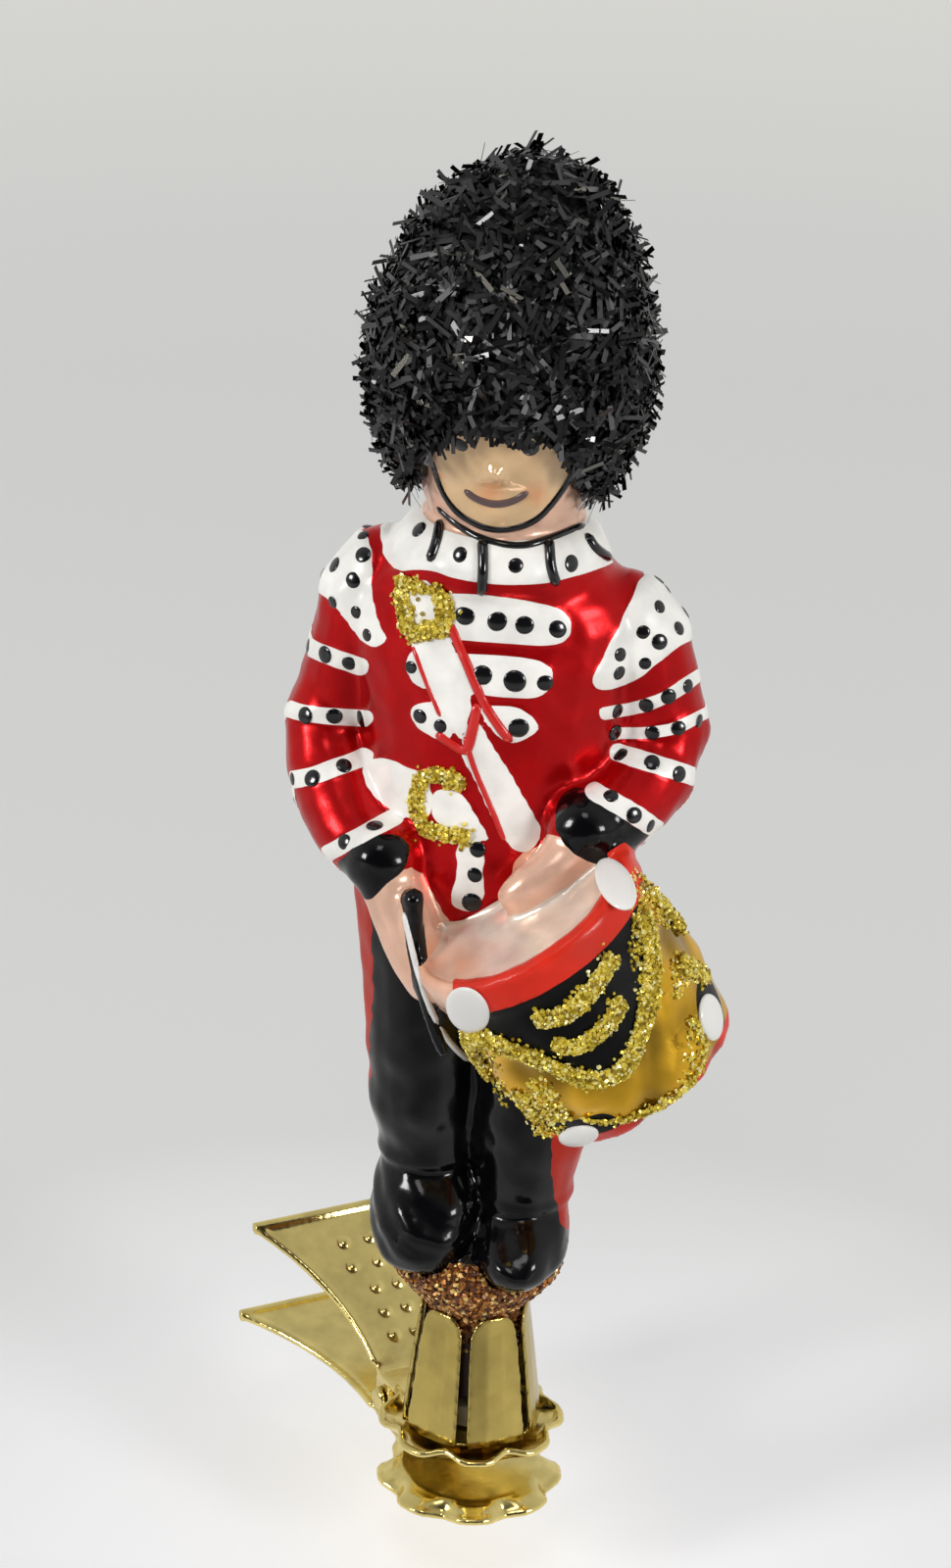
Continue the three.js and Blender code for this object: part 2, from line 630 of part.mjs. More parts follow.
const bootLines = [-1, 1].map((s) => {
  const toe = s < 0 ? 0 : -1.6;
  const x = STANCE + s * (LEG_HALF - 0.5) + BOOT_BULGE;
  const bulge = -s * BOOT_BULGE;
  const top = cuffHeight(s);
  return [
    [x, -1.6 + toe, -0.2, 3.6 + bulge, 5.8],
    [x, -1.7 + toe, 1.3, 4.9 + bulge, 7.3],
    [x, -1.5 + toe, top * 0.45, 5.3 + bulge, 7.4],
    [x, -0.8 + toe * 0.6, top * 0.75, 5.0 + bulge, 6.3],
    [x - BOOT_BULGE, 0, top, 4.3, 4.9],
  ];
});
const groundLine = [
  [0, 0, -SOLE_RISE - 0.6, NECK_R, NECK_R],
  [0, 0, -SOLE_RISE + 0.6, NECK_R + 0.6, NECK_R + 0.5],
  [0, -0.4, -1.6, 7.8, 7.4],
  [0, -0.6, 0.2, 8.0, 7.5],
  [0, -0.4, 1.6, 6.8, 6.2],
];
const handLines = [
  [
    [leftGlove[0], leftGlove[1] - 0.3, leftGlove[2], 2.9, 2.9],
    [-6.9, -12.2, HEM_Z + 1, 3.1, 2.9],
    [-4.6, -13.4, HEM_Z - 3.5, 2.9, 2.6],
    [-2.8, -13.8, HEM_Z - 7, 2.2, 2.0],
  ],
  [
    [rightGlove[0], rightGlove[1] - 0.2, rightGlove[2] - 0.8, 3.0, 2.8],
    [8.0, -12.2, HEM_Z + 6.6, 2.7, 2.5],
    [5.2, -13.6, HEM_Z + 4.6, 2.3, 2.1],
    [3.4, -14.0, HEM_Z + 3.2, 1.4, 1.2],
  ],
];
const stickLine = [
  [-5.0, -15.0, HEM_Z + 3.4, 0.9, 0.9],
  [-4.6, -15.6, HEM_Z - 1, 0.8, 0.8],
  [-3.4, -16.4, HEM_Z - 6.5, 0.8, 0.8],
  [-1.2, -17.0, HEM_Z - 12, 0.7, 0.7],
];

// Drum, turned about its own axis from the foot to the head
const drumFront = new THREE.Vector3(0, -1, 0).addScaledVector(DRUM_AXIS, DRUM_AXIS.y).normalize();
const drumPlace = new THREE.Matrix4()
  .makeBasis(drumFront, DRUM_AXIS.clone().cross(drumFront).multiplyScalar(DRUM_OVAL), DRUM_AXIS)
  .setPosition(DRUM_AT);
const drumHalf = DRUM_LEN / 2;
const drumBelly = new THREE.CatmullRomCurve3([
  new THREE.Vector3(DRUM_R - 1.6, 0, -drumHalf),
  new THREE.Vector3(DRUM_R - 0.9, 0, -drumHalf + 1.6),
  new THREE.Vector3(DRUM_R - 0.25, 0, -drumHalf * 0.45),
  new THREE.Vector3(DRUM_R, 0, drumHalf * 0.1),
  new THREE.Vector3(DRUM_R - 0.3, 0, drumHalf - HOOP_H),
]);

function drum(grow = 0, around = 28, steps = 6) {
  const side = drumBelly.getPoints(steps).map((p) => [p.x + grow, p.z]);
  side[0][1] -= grow;
  const hoop = DRUM_R - 0.3 + HOOP_T + grow;
  const profile = [
    [0, -drumHalf - grow],
    ...side,
    [hoop, drumHalf - HOOP_H + 0.1 - grow],
    [hoop, drumHalf - 0.5 + grow],
    [hoop - 0.5, drumHalf + grow],
    [hoop - 1.3, drumHalf + grow],
    [hoop - 1.7, drumHalf - 0.6 + grow],
    [0, drumHalf - 0.6 + grow],
  ];
  return turned(profile, around).applyMatrix4(drumPlace);
}

function figureForms(grow) {
  const ball = (r, at) => new THREE.SphereGeometry(r + grow, 12, 8).translate(...at);
  return [
    loft(torsoLine, { grow, around: 22, steps: 10 }),
    loft(collarLine, { grow, around: 22, steps: 4 }),
    loft(headLine, { grow, around: 18, steps: 7 }),
    loft(hatLine, { grow, around: 18, steps: 8 }),
    ...armLines.map((line) => loft(line, { grow, around: 12, steps: 11, level: false })),
    ...legLines.map((line) => loft(line, { grow, around: 16, steps: 7 })),
    ...bootLines.map((line) => loft(line, { grow, around: 16, steps: 6 })),
    loft(groundLine, { grow, around: 20, steps: 4 }),
    ...handLines.map((line) => loft(line, { grow, around: 10, steps: 5, level: false })),
    loft(stickLine, { grow, around: 6, steps: 4, level: false }),
    drum(grow, 26, 5),
    ball(3.9, leftGlove),
    ball(4.0, rightGlove),
    ball(1.4, [0, -8.5, FACE_Z + 1.5]),
    ball(1.15, [stickLine[0][0], stickLine[0][1], stickLine[0][2]]),
    disc(NECK_R + grow, NECK_END - grow, -SOLE_RISE, 20),
  ];
}

function hollowForms() {
  const grow = -WALL;
  return [
    loft(torsoLine, { grow, around: 12, steps: 5 }),
    loft(collarLine, { grow, around: 10, steps: 2 }),
    loft(headLine, { grow, around: 12, steps: 4 }),
    loft(hatLine, { grow: grow - 0.3, around: 12, steps: 6 }),
    ...armLines.map((line) => loft(line.slice(0, 7), { grow, around: 8, steps: 5, level: false })),
    ...legLines.map((line) => loft(line, { grow, around: 10, steps: 3 })),
    ...bootLines.map((line) => loft(line, { grow, around: 10, steps: 3 })),
    loft(groundLine, { grow, around: 12, steps: 3 }),
    drum(grow, 16, 3),
    disc(NECK_R - WALL, NECK_END - 1, -SOLE_RISE + 0.5, 16),
  ];
}

const blown = mainBody(join(figureForms(0)));
const hollow = mainBody(join(hollowForms()));
piece(figure, 'glass_figure', surface(mainBody(blown.subtract(hollow))), finish(0xb81c1c, 0.2, 0.4));

// Tinsel coat of the bearskin: a matted foot with strands, cut along the brim
const cleared = join(figureForms(FIT));
const brimLine = new THREE.Shape();
brimLine.moveTo(-20, HAT_Z - HAT_DOWN * 0.22);
brimLine.lineTo(-HAT_R - 0.4, HAT_Z - HAT_DOWN * 0.3);
brimLine.lineTo(-HAT_R + 4, HAT_Z - HAT_DOWN * 0.72);
brimLine.lineTo(-HAT_R + 8, HAT_Z - HAT_DOWN - 0.4);
brimLine.lineTo(20, HAT_Z - HAT_DOWN - 1.8);
brimLine.lineTo(20, HAT_Z - HAT_DOWN - 20);
brimLine.lineTo(-20, HAT_Z - HAT_DOWN - 20);
const brimSlab = new THREE.ExtrudeGeometry(brimLine, { depth: 60, bevelEnabled: false });
brimSlab.applyMatrix4(
  new THREE.Matrix4().makeBasis(
    new THREE.Vector3(0, 1, 0),
    new THREE.Vector3(0, 0, 1),
    new THREE.Vector3(1, 0, 0),
  ),
);
const belowBrim = solid(brimSlab.translate(-30, 0, 0));

function scatter(i, k) {
  const v = Math.sin(i * 12.9898 + k * 78.233) * 43758.5453;
  return v - Math.floor(v);
}

function brimAt(y) {
  const front = THREE.MathUtils.clamp((-y + 4) / HAT_R, 0, 1);
  return HAT_Z - HAT_DOWN + front * HAT_DOWN * 0.62;
}

const strands = [];
const hatLow = HAT_Z - HAT_DOWN;
const hatSpan = HAT_DOWN + HAT_UP * 0.985;
for (let i = 0; i < TINSEL_COUNT; i++) {
  const z = hatLow + (hatSpan * (i + 0.5)) / TINSEL_COUNT;
  const turn = i * Math.PI * (3 - Math.sqrt(5));
  const r = hatRadius(z);
  const foot = new THREE.Vector3(hatMiddle(z) + r * Math.cos(turn), r * Math.sin(turn) + 0.2, z);
  if (z < brimAt(foot.y) + 1) continue;
  const fall = (hatRadius(z - 0.1) - hatRadius(z + 0.1)) / 0.2;
  const out = new THREE.Vector3(Math.cos(turn), Math.sin(turn), fall).normalize();
  const lean = new THREE.Vector3(scatter(i, 1) - 0.5, scatter(i, 2) - 0.5, scatter(i, 3) - 0.5);
  const aim = out.clone().addScaledVector(lean, 0.8).normalize();
  const length = TINSEL_BASE + TINSEL_LEN * (0.75 + 0.25 * scatter(i, 4));
  const strand = new THREE.ConeGeometry(0.5, length, 3).translate(0, length / 2, 0);
  strand.applyQuaternion(new THREE.Quaternion().setFromUnitVectors(new THREE.Vector3(0, 1, 0), aim));
  const start = foot.clone().addScaledVector(out, FIT);
  strands.push(solid(strand.translate(start.x, start.y, start.z)));
}
const coatFoot = solid(loft(hatLine, { grow: FIT + TINSEL_BASE, around: 18, steps: 8 }));
const coat = strands.reduce((sum, next) => sum.add(next), coatFoot).subtract(cleared).subtract(belowBrim);
piece(figure, 'bearskin_tinsel', surface(mainBody(coat)), finish(0x17171a, 0.55, 0.1));

// Glitter crusts, laid over the coat and the drum
function addCrust(name, line) {
  piece(figure, name, surface(mainBody(solid(line).subtract(cleared))), goldGlitter);
}

const torsoSpine = new THREE.CatmullRomCurve3(torsoLine.map((s) => new THREE.Vector3(s[0], s[1], s[2])));
const torsoGirth = new THREE.CatmullRomCurve3(torsoLine.map((s) => new THREE.Vector3(s[3], s[4], 0)));

function onCoat(x, z) {
  let low = 0;
  let high = 1;
  for (let i = 0; i < 24; i++) {
    const t = (low + high) / 2;
    if (torsoSpine.getPoint(t).z < z) low = t;
    else high = t;
  }
  const size = torsoGirth.getPoint(low);
  const y = torsoSpine.getPoint(low).y - (size.y + FIT) * Math.sqrt(1 - (x / size.x) ** 2);
  return new THREE.Vector3(x, y, z);
}

function onDrum(turnDegrees, height) {
  const share = THREE.MathUtils.clamp((height + drumHalf) / (DRUM_LEN - HOOP_H), 0, 1);
  const r = drumBelly.getPoint(share).x + FIT;
  const a = rad(turnDegrees);
  return new THREE.Vector3(r * Math.cos(a), r * Math.sin(a), height).applyMatrix4(drumPlace);
}

// A mark is the turn in degrees and the height as a share of half the drum
function crustOnDrum(name, marks, radius = CRUST_R) {
  const line = marks.map(([turn, share]) => onDrum(turn, share * drumHalf));
  addCrust(name, tube(line, radius, 6, (marks.length - 1) * 2));
}

const buckleCorners = [[-8.7, 2.4], [-4.6, 3.1], [-3.7, -0.4], [-7.4, -1.9]];
const shoulderBuckle = buckleCorners.flatMap(([x, z], k) => {
  const [nextX, nextZ] = buckleCorners[(k + 1) % buckleCorners.length];
  return [onCoat(x, SHOULDER_Z + z), onCoat((x + nextX) / 2, SHOULDER_Z + (z + nextZ) / 2)];
});
const buckleLoop = new THREE.CatmullRomCurve3(shoulderBuckle, true);
addCrust('cross_belt_buckle_glitter', new THREE.TubeGeometry(buckleLoop, 16, CRUST_R, 6, true));

const waistBuckle = [[-1.4, 1.2], [-4.9, 1.6], [-6.0, -0.9], [-5.1, -3.8], [-0.6, -4]];
const waistLoop = waistBuckle.map(([x, z]) => onCoat(x, WAIST_Z + z));
addCrust('waist_buckle_glitter', tube(waistLoop, CRUST_R, 6, 10));

crustOnDrum('drum_chevron_upper', [[-3, 0.51], [6, 0.43], [19, 0.45], [28, 0.49], [44, 0.6]]);
crustOnDrum('drum_chevron_lower', [[-3, 0.22], [6, 0.1], [18, 0.12], [27, 0.15], [34, 0.26]]);
crustOnDrum('drum_swag', [
  [71, 0.62],
  [65, 0.41],
  [54, 0.22],
  [43, 0.02],
  [31, -0.17],
  [20, -0.31],
  [7, -0.31],
  [-5, -0.12],
  [-18, 0.19],
  [-33, 0.42],
  [-48, 0.38],
  [-58, 0.18],
  [-62, -0.13],
], CRUST_R * 1.2);
crustOnDrum('drum_top_band', [[91, 0.59], [96, 0.31], [100, 0.04]]);
crustOnDrum('drum_right_patch', [[73, 0], [80, -0.18], [88, -0.4]], CRUST_R * 1.15);
crustOnDrum('drum_outer_band', [
  [-28, -0.52],
  [-10, -0.7],
  [6, -0.84],
  [24, -0.89],
  [43, -0.88],
  [57, -0.75],
  [60, -0.41],
], CRUST_R * 0.75);
crustOnDrum('drum_lower_patch', [[-38, -0.22], [-43, -0.43], [-48, -0.63]], CRUST_R * 1.15);

const ground = ringBody(() => [
  [NECK_R, NECK_END + 1],
  [NECK_R + FIT + NECK_CRUST, NECK_END + 1],
  [NECK_R + FIT + NECK_CRUST, -SOLE_RISE - 0.2],
  [NECK_R + 2.2, -SOLE_RISE + 0.9],
  [8.7, -1.6],
  [8.9, 0.2],
  [8.0, 1.6],
  [6.6, 1.8],
  [5.6, 0],
  [NECK_R, -SOLE_RISE],
], 22);
const groundCrust = surface(mainBody(solid(ground).subtract(cleared)));
piece(figure, 'ground_glitter', groundCrust, finish(0x96592a, 0.55, 0.7));

export default ornament;
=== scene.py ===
import json
import math
import bmesh
import bpy
import numpy as np
from mathutils import Matrix, Vector
from mathutils.bvhtree import BVHTree


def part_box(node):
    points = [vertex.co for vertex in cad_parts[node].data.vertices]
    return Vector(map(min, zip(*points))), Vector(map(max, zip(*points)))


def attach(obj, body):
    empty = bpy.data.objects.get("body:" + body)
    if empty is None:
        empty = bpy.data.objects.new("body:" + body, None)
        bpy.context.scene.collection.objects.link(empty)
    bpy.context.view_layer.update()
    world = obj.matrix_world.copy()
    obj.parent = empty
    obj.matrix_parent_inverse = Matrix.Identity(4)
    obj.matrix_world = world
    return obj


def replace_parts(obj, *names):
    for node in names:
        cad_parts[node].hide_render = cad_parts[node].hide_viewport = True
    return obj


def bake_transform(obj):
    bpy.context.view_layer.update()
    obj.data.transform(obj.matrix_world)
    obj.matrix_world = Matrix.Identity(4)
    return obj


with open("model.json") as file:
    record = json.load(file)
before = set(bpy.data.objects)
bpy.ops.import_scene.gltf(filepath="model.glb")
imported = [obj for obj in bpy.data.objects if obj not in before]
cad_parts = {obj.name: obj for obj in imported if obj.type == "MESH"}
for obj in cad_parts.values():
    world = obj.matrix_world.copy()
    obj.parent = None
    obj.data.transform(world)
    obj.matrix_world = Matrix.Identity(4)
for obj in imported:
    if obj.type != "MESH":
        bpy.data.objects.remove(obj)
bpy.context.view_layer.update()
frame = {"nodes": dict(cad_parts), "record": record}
figureBody = "figure_and_upper_jaw"
lowerBody = "lower_jaw"
mm = 0.001
farOff = 1e9
wholeTurn = 6.28  # radians
soleRise = 5.7  # millimetres from the cup's petals to the soles
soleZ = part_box("petal_cup")[1].z / mm + soleRise
scene = bpy.context.scene
scene.view_settings.view_transform = "Standard"

# picture and camera
picture = {  # width and height in pixels, angles in degrees, distance and target in metres
    "width": 970, "height": 1600, "angle": 20.0, "azimuth": 9.0, "elevation": 23.5,
    "roll": 2.0, "distance": 0.432, "target": (-0.00185, 0.0, (soleZ + 50.75) * mm),
}


def placeCamera():
    a, e, r = (math.radians(picture[k]) for k in ("azimuth", "elevation", "roll"))
    back = Vector((math.sin(a) * math.cos(e), -math.cos(a) * math.cos(e), math.sin(e)))
    level = (-back).cross(Vector((0, 0, 1))).normalized()
    upright = level.cross(-back)
    right = level * math.cos(r) + upright * math.sin(r)
    up = upright * math.cos(r) - level * math.sin(r)
    eye = Vector(picture["target"]) + back * picture["distance"]
    lens = bpy.data.cameras.new("pictureCamera")
    lens.angle = math.radians(picture["angle"])
    lens.clip_start = 0.01
    lens.clip_end = 50.0
    camera = bpy.data.objects.new("pictureCamera", lens)
    turn = Matrix((right, up, back)).transposed().to_4x4()
    camera.matrix_world = Matrix.Translation(eye) @ turn
    scene.collection.objects.link(camera)
    scene.camera = camera
    return [np.array(v) for v in (eye, right, up, back)]


eye, rightward, upward, backward = placeCamera()
focal = picture["height"] / 2 / math.tan(math.radians(picture["angle"] / 2))
pixelsPerMm = focal / picture["distance"] * mm


def seenAt(points):  # picture pixels of points given in metres
    v = np.asarray(points) - eye
    depth = -(v @ backward)
    x = picture["width"] / 2 + focal * (v @ rightward) / depth
    y = picture["height"] / 2 - focal * (v @ upward) / depth
    return x, y


def sightLine(x, y):
    aim = -backward + (x - picture["width"] / 2) / focal * rightward
    aim = aim - (y - picture["height"] / 2) / focal * upward
    return Vector(aim).normalized()


# general helpers
def tint(r, g, b):  # linear colour of a tone given as seen
    shares = [c / 255 for c in (r, g, b)]
    return tuple(((s + 0.055) / 1.055) ** 2.4 if s > 10 / 255 else s / 12.92 for s in shares) + (1.0,)


def darker(colour, share):
    return tuple(c * share for c in colour[:3]) + (1.0,)


def newPiece(name, mesh, material, body, smooth=True):
    piece = bpy.data.objects.new(name, mesh)
    scene.collection.objects.link(piece)
    mesh.materials.clear()
    mesh.materials.append(material)
    if smooth:
        mesh.shade_smooth()
    else:
        mesh.shade_flat()
    if body:
        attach(piece, body)
    return piece


def bmOf(*meshes):
    bm = bmesh.new()
    for mesh in meshes:
        bm.from_mesh(mesh)
    return bm


def mergedCopy(node):
    bm = bmOf(frame["nodes"][node].data)
    bmesh.ops.remove_doubles(bm, verts=bm.verts, dist=2e-6)
    return bm


def bakedMesh(bm, name):
    mesh = bpy.data.meshes.new(name)
    bm.to_mesh(mesh)
    bm.free()
    return mesh


def voxelled(bm, name, voxel, rounds):  # one even skin round a closed shape, smoothed
    stand = bpy.data.objects.new(name + "Stand", bakedMesh(bm, name))
    scene.collection.objects.link(stand)
    remesh = stand.modifiers.new("remesh", "REMESH")
    remesh.mode = "VOXEL"
    remesh.voxel_size = voxel
    remesh.adaptivity = 0.0
    deps = bpy.context.evaluated_depsgraph_get()
    mesh = bpy.data.meshes.new_from_object(stand.evaluated_get(deps))
    bpy.data.objects.remove(stand)
    axes = {"use_axis_" + axis: True for axis in "xyz"}
    bm = bmOf(mesh)
    for _ in range(rounds):
        bmesh.ops.smooth_vert(bm, verts=bm.verts, factor=0.5, **axes)
    bm.to_mesh(mesh)
    bm.free()
    return mesh


def vectorsOf(mesh, what="co"):
    values = np.empty(len(mesh.vertices) * 3, np.float32)
    mesh.vertices.foreach_get(what, values)
    return values.reshape(-1, 3).astype(float)


def setCoords(mesh, co):
    mesh.vertices.foreach_set("co", co.astype(np.float32).ravel())
    mesh.update()


def setAttribute(mesh, name, values):
    layer = mesh.attributes.new(name, "FLOAT", "POINT")
    layer.data.foreach_set("value", np.asarray(values, np.float32))


def unit(rows):
    return rows / np.linalg.norm(rows, axis=1)[:, None]


def templateOf(operator, **settings):  # vertices and faces of a small shape made by an operator
    bm = bmesh.new()
    operator(bm, **settings)
    bm.verts.ensure_lookup_table()
    points = np.array([v.co[:] for v in bm.verts])
    faces = [[v.index for v in f.verts] for f in bm.faces]
    bm.free()
    return points, faces


def sown(name, template, frames, places, tones):  # one mesh of many copies of a small shape
    points, faces = template
    count = len(points)
    co = np.einsum("kij,nj->kni", frames, points) + places[:, None, :]
    flat = np.concatenate([np.array(f) for f in faces])
    starts = np.arange(len(places)) * count
    loops = (flat[None, :] + starts[:, None]).ravel()
    sides = np.tile([len(f) for f in faces], len(places))
    loopStarts = np.concatenate([[0], np.cumsum(sides)[:-1]])
    mesh = bpy.data.meshes.new(name)
    mesh.vertices.add(co.shape[0] * count)
    mesh.vertices.foreach_set("co", co.astype(np.float32).ravel())
    mesh.loops.add(len(loops))
    mesh.loops.foreach_set("vertex_index", loops.astype(np.int32))
    mesh.polygons.add(len(sides))
    mesh.polygons.foreach_set("loop_start", loopStarts.astype(np.int32))
    mesh.update(calc_edges=True)
    mesh.validate()
    setAttribute(mesh, "tone", np.repeat(tones, count))
    return mesh


def framesAlong(normals, spins):  # one frame for each normal, turned about it
    n = unit(normals)
    helper = np.where(np.abs(n[:, 2:]) < 0.9, [[0.0, 0.0, 1.0]], [[1.0, 0.0, 0.0]])
    u = unit(np.cross(helper, n))
    v = np.cross(n, u)
    c, s = np.cos(spins)[:, None], np.sin(spins)[:, None]
    return np.stack([u * c + v * s, v * c - u * s, n], axis=2)


def sprinkle(mesh, count, rng):  # even random points on a mesh, with normals
    mesh.calc_loop_triangles()
    tri = np.empty(len(mesh.loop_triangles) * 3, np.int32)
    mesh.loop_triangles.foreach_get("vertices", tri)
    co = vectorsOf(mesh)[tri.reshape(-1, 3)]
    cross = np.cross(co[:, 1] - co[:, 0], co[:, 2] - co[:, 0])
    area = np.linalg.norm(cross, axis=1)
    pick = rng.choice(len(area), count, p=area / area.sum())
    a, b = rng.random((2, count))
    flip = a + b > 1
    a, b = np.where(flip, 1 - a, a), np.where(flip, 1 - b, b)
    c = co[pick]
    points = c[:, 0] + a[:, None] * (c[:, 1] - c[:, 0]) + b[:, None] * (c[:, 2] - c[:, 0])
    return points, cross[pick] / area[pick][:, None]


# material helpers
def newMaterial(name):
    material = bpy.data.materials.new(name)
    material.use_nodes = True
    tree = material.node_tree
    return material, tree, tree.nodes["Principled BSDF"]


def setInputs(tree, node, inputs):  # links what comes from another node, sets what is constant
    for key, value in inputs.items():
        if isinstance(value, bpy.types.NodeSocket):
            tree.links.new(value, node.inputs[key])
        else:
            node.inputs[key].default_value = value


def addNode(tree, kind, inputs, **settings):
    node = tree.nodes.new("ShaderNode" + kind)
    for key, value in settings.items():
        setattr(node, key, value)
    setInputs(tree, node, inputs)
    return node.outputs


def placeOf(tree, kind="Object"):
    return addNode(tree, "TexCoord", {})[kind]


def attributeOf(tree, name="tone"):
    return addNode(tree, "Attribute", {}, attribute_name=name)["Fac"]


def noiseOf(tree, scale, detail=3.0):
    return addNode(tree, "TexNoise", {"Vector": placeOf(tree), "Scale": scale, "Detail": detail})["Fac"]


def mathOf(tree, operation, a, b):
    return addNode(tree, "Math", {0: a, 1: b}, operation=operation)[0]


def vectorOf(tree, operation, a, b):
    return addNode(tree, "VectorMath", {0: a, 1: b}, operation=operation)[0]


def lengthOf(tree, vector):
    return addNode(tree, "VectorMath", {0: vector}, operation="LENGTH")["Value"]


def axisOf(tree, vector, axis):
    return addNode(tree, "SeparateXYZ", {0: vector})[axis]


def spread(tree, source, low, high, fromLow=0.0, fromHigh=1.0):
    ends = {"From Min": fromLow, "From Max": fromHigh, "To Min": low, "To Max": high}
    return addNode(tree, "MapRange", {"Value": source, **ends})["Result"]


def mixed(tree, factor, below, above, blend="MIX"):
    inputs = {"Factor": factor, 6: below, 7: above}
    return addNode(tree, "Mix", inputs, data_type="RGBA", blend_type=blend)[2]


def mixedValue(tree, factor, below, above):
    return addNode(tree, "Mix", {"Factor": factor, 2: below, 3: above}, data_type="FLOAT")[0]


def bumpOf(tree, height, strength, distance):
    return addNode(tree, "Bump", {"Height": height, "Strength": strength, "Distance": distance})["Normal"]


def rampOf(tree, source, stops):
    ramp = tree.nodes.new("ShaderNodeValToRGB")
    bar = ramp.color_ramp.elements
    while len(bar) < len(stops):
        bar.new(0.5)
    for element, (place, colour) in zip(bar, stops):
        element.position = place
        element.color = colour
    setInputs(tree, ramp, {"Fac": source})
    return ramp.outputs["Color"]


# the lacquered glass figure
glass = {
    "voxel": 0.00042, "rounds": 7, "neckTrim": 0.0004,  # in metres
    # two crossing waves, the second one's shift, height in millimetres
    "ripples": [((0.9, 0, 0.55), (0, -0.7, 0.8), 0, 0.05), ((0, 1, 1.7), (1.5, 0, 0), 2, 0.03)],
}
limbs = {  # stations in millimetres above the soles: x, y, z, radius
    "leftArm": [(-9.45, 0.3, 74, 3.4), (-12.75, 0.3, 71.4, 4.5), (-13.65, 0.4, 66.5, 4.65),
                (-15.2, 0.6, 60.1, 4.5), (-16.7, -0.2, 55.2, 4.45), (-14.3, -4.8, 49.95, 4.2),
                (-11.6, -8, 47.3, 3.8), (-8.9, -10.2, 46.7, 3.8)],
    "rightArm": [(10.15, 0.3, 71.6, 3.4), (13.45, 0.3, 69, 4.5), (14.35, 0.4, 65.5, 4.65),
                 (15.5, 0.6, 61, 4.5), (16.7, -0.2, 57, 4.45), (14.3, -4.8, 53.25, 4.2),
                 (12.35, -8, 52.1, 3.8), (10.4, -9, 51.5, 3.9)],
    "leftHand": [(-8.2, -11.6, 45.2, 2.9), (-6.9, -12.2, 42.5, 3), (-4.6, -13.4, 38, 2.75),
                 (-2.8, -13.8, 34.5, 2.1)],
    "rightHand": [(9.6, -10.6, 49.6, 2.9), (8, -12.2, 48.1, 2.6), (5.2, -13.6, 46.1, 2.2),
                  (3.4, -14, 44.7, 1.3)],
    "stick": [(-5, -15, 44.9, 1.15), (-4.9, -15.2, 43.6, 0.85), (-4.6, -15.6, 40.5, 0.8),
              (-3.4, -16.4, 35, 0.8), (-1.2, -17, 29.5, 0.7)],
    "leftLeg": [(-4.8, -1, 3, 5.9), (-4.9, 0, 8, 5.2), (-5.4, 0.2, 11.5, 5), (-5.6, 0, 15.5, 6),
                (-5.9, 0, 26, 6.3), (-6.4, 0, 35.5, 7), (-6.6, 0.2, 41, 7.4)],
    "rightLeg": [(5, -2, 2.6, 4.8), (4.7, 0, 4.9, 4.7), (4.4, 0.2, 7.5, 5), (4.7, 0, 11.5, 6),
                 (4.9, 0, 26, 6.3), (5.4, 0, 35.5, 7), (5.6, 0.2, 41, 7.4)],
}
ovals = {  # level ovals: x, y, z, half width, half depth
    "torso": [(0, 0, 37.5, 10.6, 8), (0, -1.2, 41.5, 12.8, 10.6), (0, -1, 46.5, 13, 10.3),
              (0, -0.6, 54, 12.9, 9.6), (0, -0.6, 61, 13.4, 10.2), (0, 0, 67, 14.6, 10),
              (0, 0.2, 71, 14.4, 9.2), (-0.3, -0.2, 74.3, 11.2, 9.4), (-0.3, -0.3, 76.1, 10.4, 9.4),
              (0, -0.2, 78.3, 9, 8.5)],
    "head": [(0, 0, 78.4, 6.6, 6.8), (0, 0, 81.1, 7.9, 8.1), (0, 0, 84.5, 8.4, 8.5), (0, 0, 88.5, 8.6, 8.8),
             (0, 0.2, 92, 11, 11), (0, 0.2, 100, 11, 11), (0, 0.2, 112, 3, 3)],
    "ground": [(0, 0, -6, 4.2, 4.2), (0, -0.4, -1.6, 7.8, 7.4), (0, -0.6, 0.2, 8, 7.5)],
}
drum = {  # in millimetres, turns in degrees, hoopFrom and lugs in pixels of the picture
    "centre": (10.5, -11.3, 35.4), "axis": (-0.51, -0.21, 0.83), "radius": 11.2, "half": 11.15, "oval": 1.06,
    "belly": [(-11.15, 9.8), (-9.55, 10.3), (-5, 10.95), (1.1, 11.2), (7.35, 10.9), (7.6, 11.2)],
    "hoopLow": 7.9, "hoopInner": 9.3, "hoopFrom": 462, "footHoop": -9.6, "footInner": 8.6, "headLow": 9.0,
    "headRadius": 9.9, "middleTurn": 18.0, "foldTurn": 92, "swagTop": 8.6,
    "sideCorner": {"turn": 80, "height": -6.5, "radius": 3.2},
    "lowCorner": {"turn": -23, "height": -8.6, "half": 2.9, "radius": 1.5},
    "swag": [(74, 8.2), (71, 6.9), (65, 4.6), (54, 2.4), (43, 0.2), (31, -1.9), (20, -3.5), (7, -3.5),
             (-5, -1.3), (-18, 2.1), (-33, 4.7), (-38, 8.2)],
    "lugs": [(628, 902, 17, 27, -31), (477, 1031, 20, 25, -30), (725, 1038, 12, 24, -10),
             (590, 1159, 20, 11, -12)],
    "lugRise": 0.6, "lugSlant": 0.3, "lugTone": 0.9,
}
drumUp = np.array(drum["axis"]) / np.linalg.norm(drum["axis"])
drumFront = np.array((0.0, -1.0, 0.0)) + drumUp * drumUp[1]
drumFront /= np.linalg.norm(drumFront)
drumSide = np.cross(drumUp, drumFront)


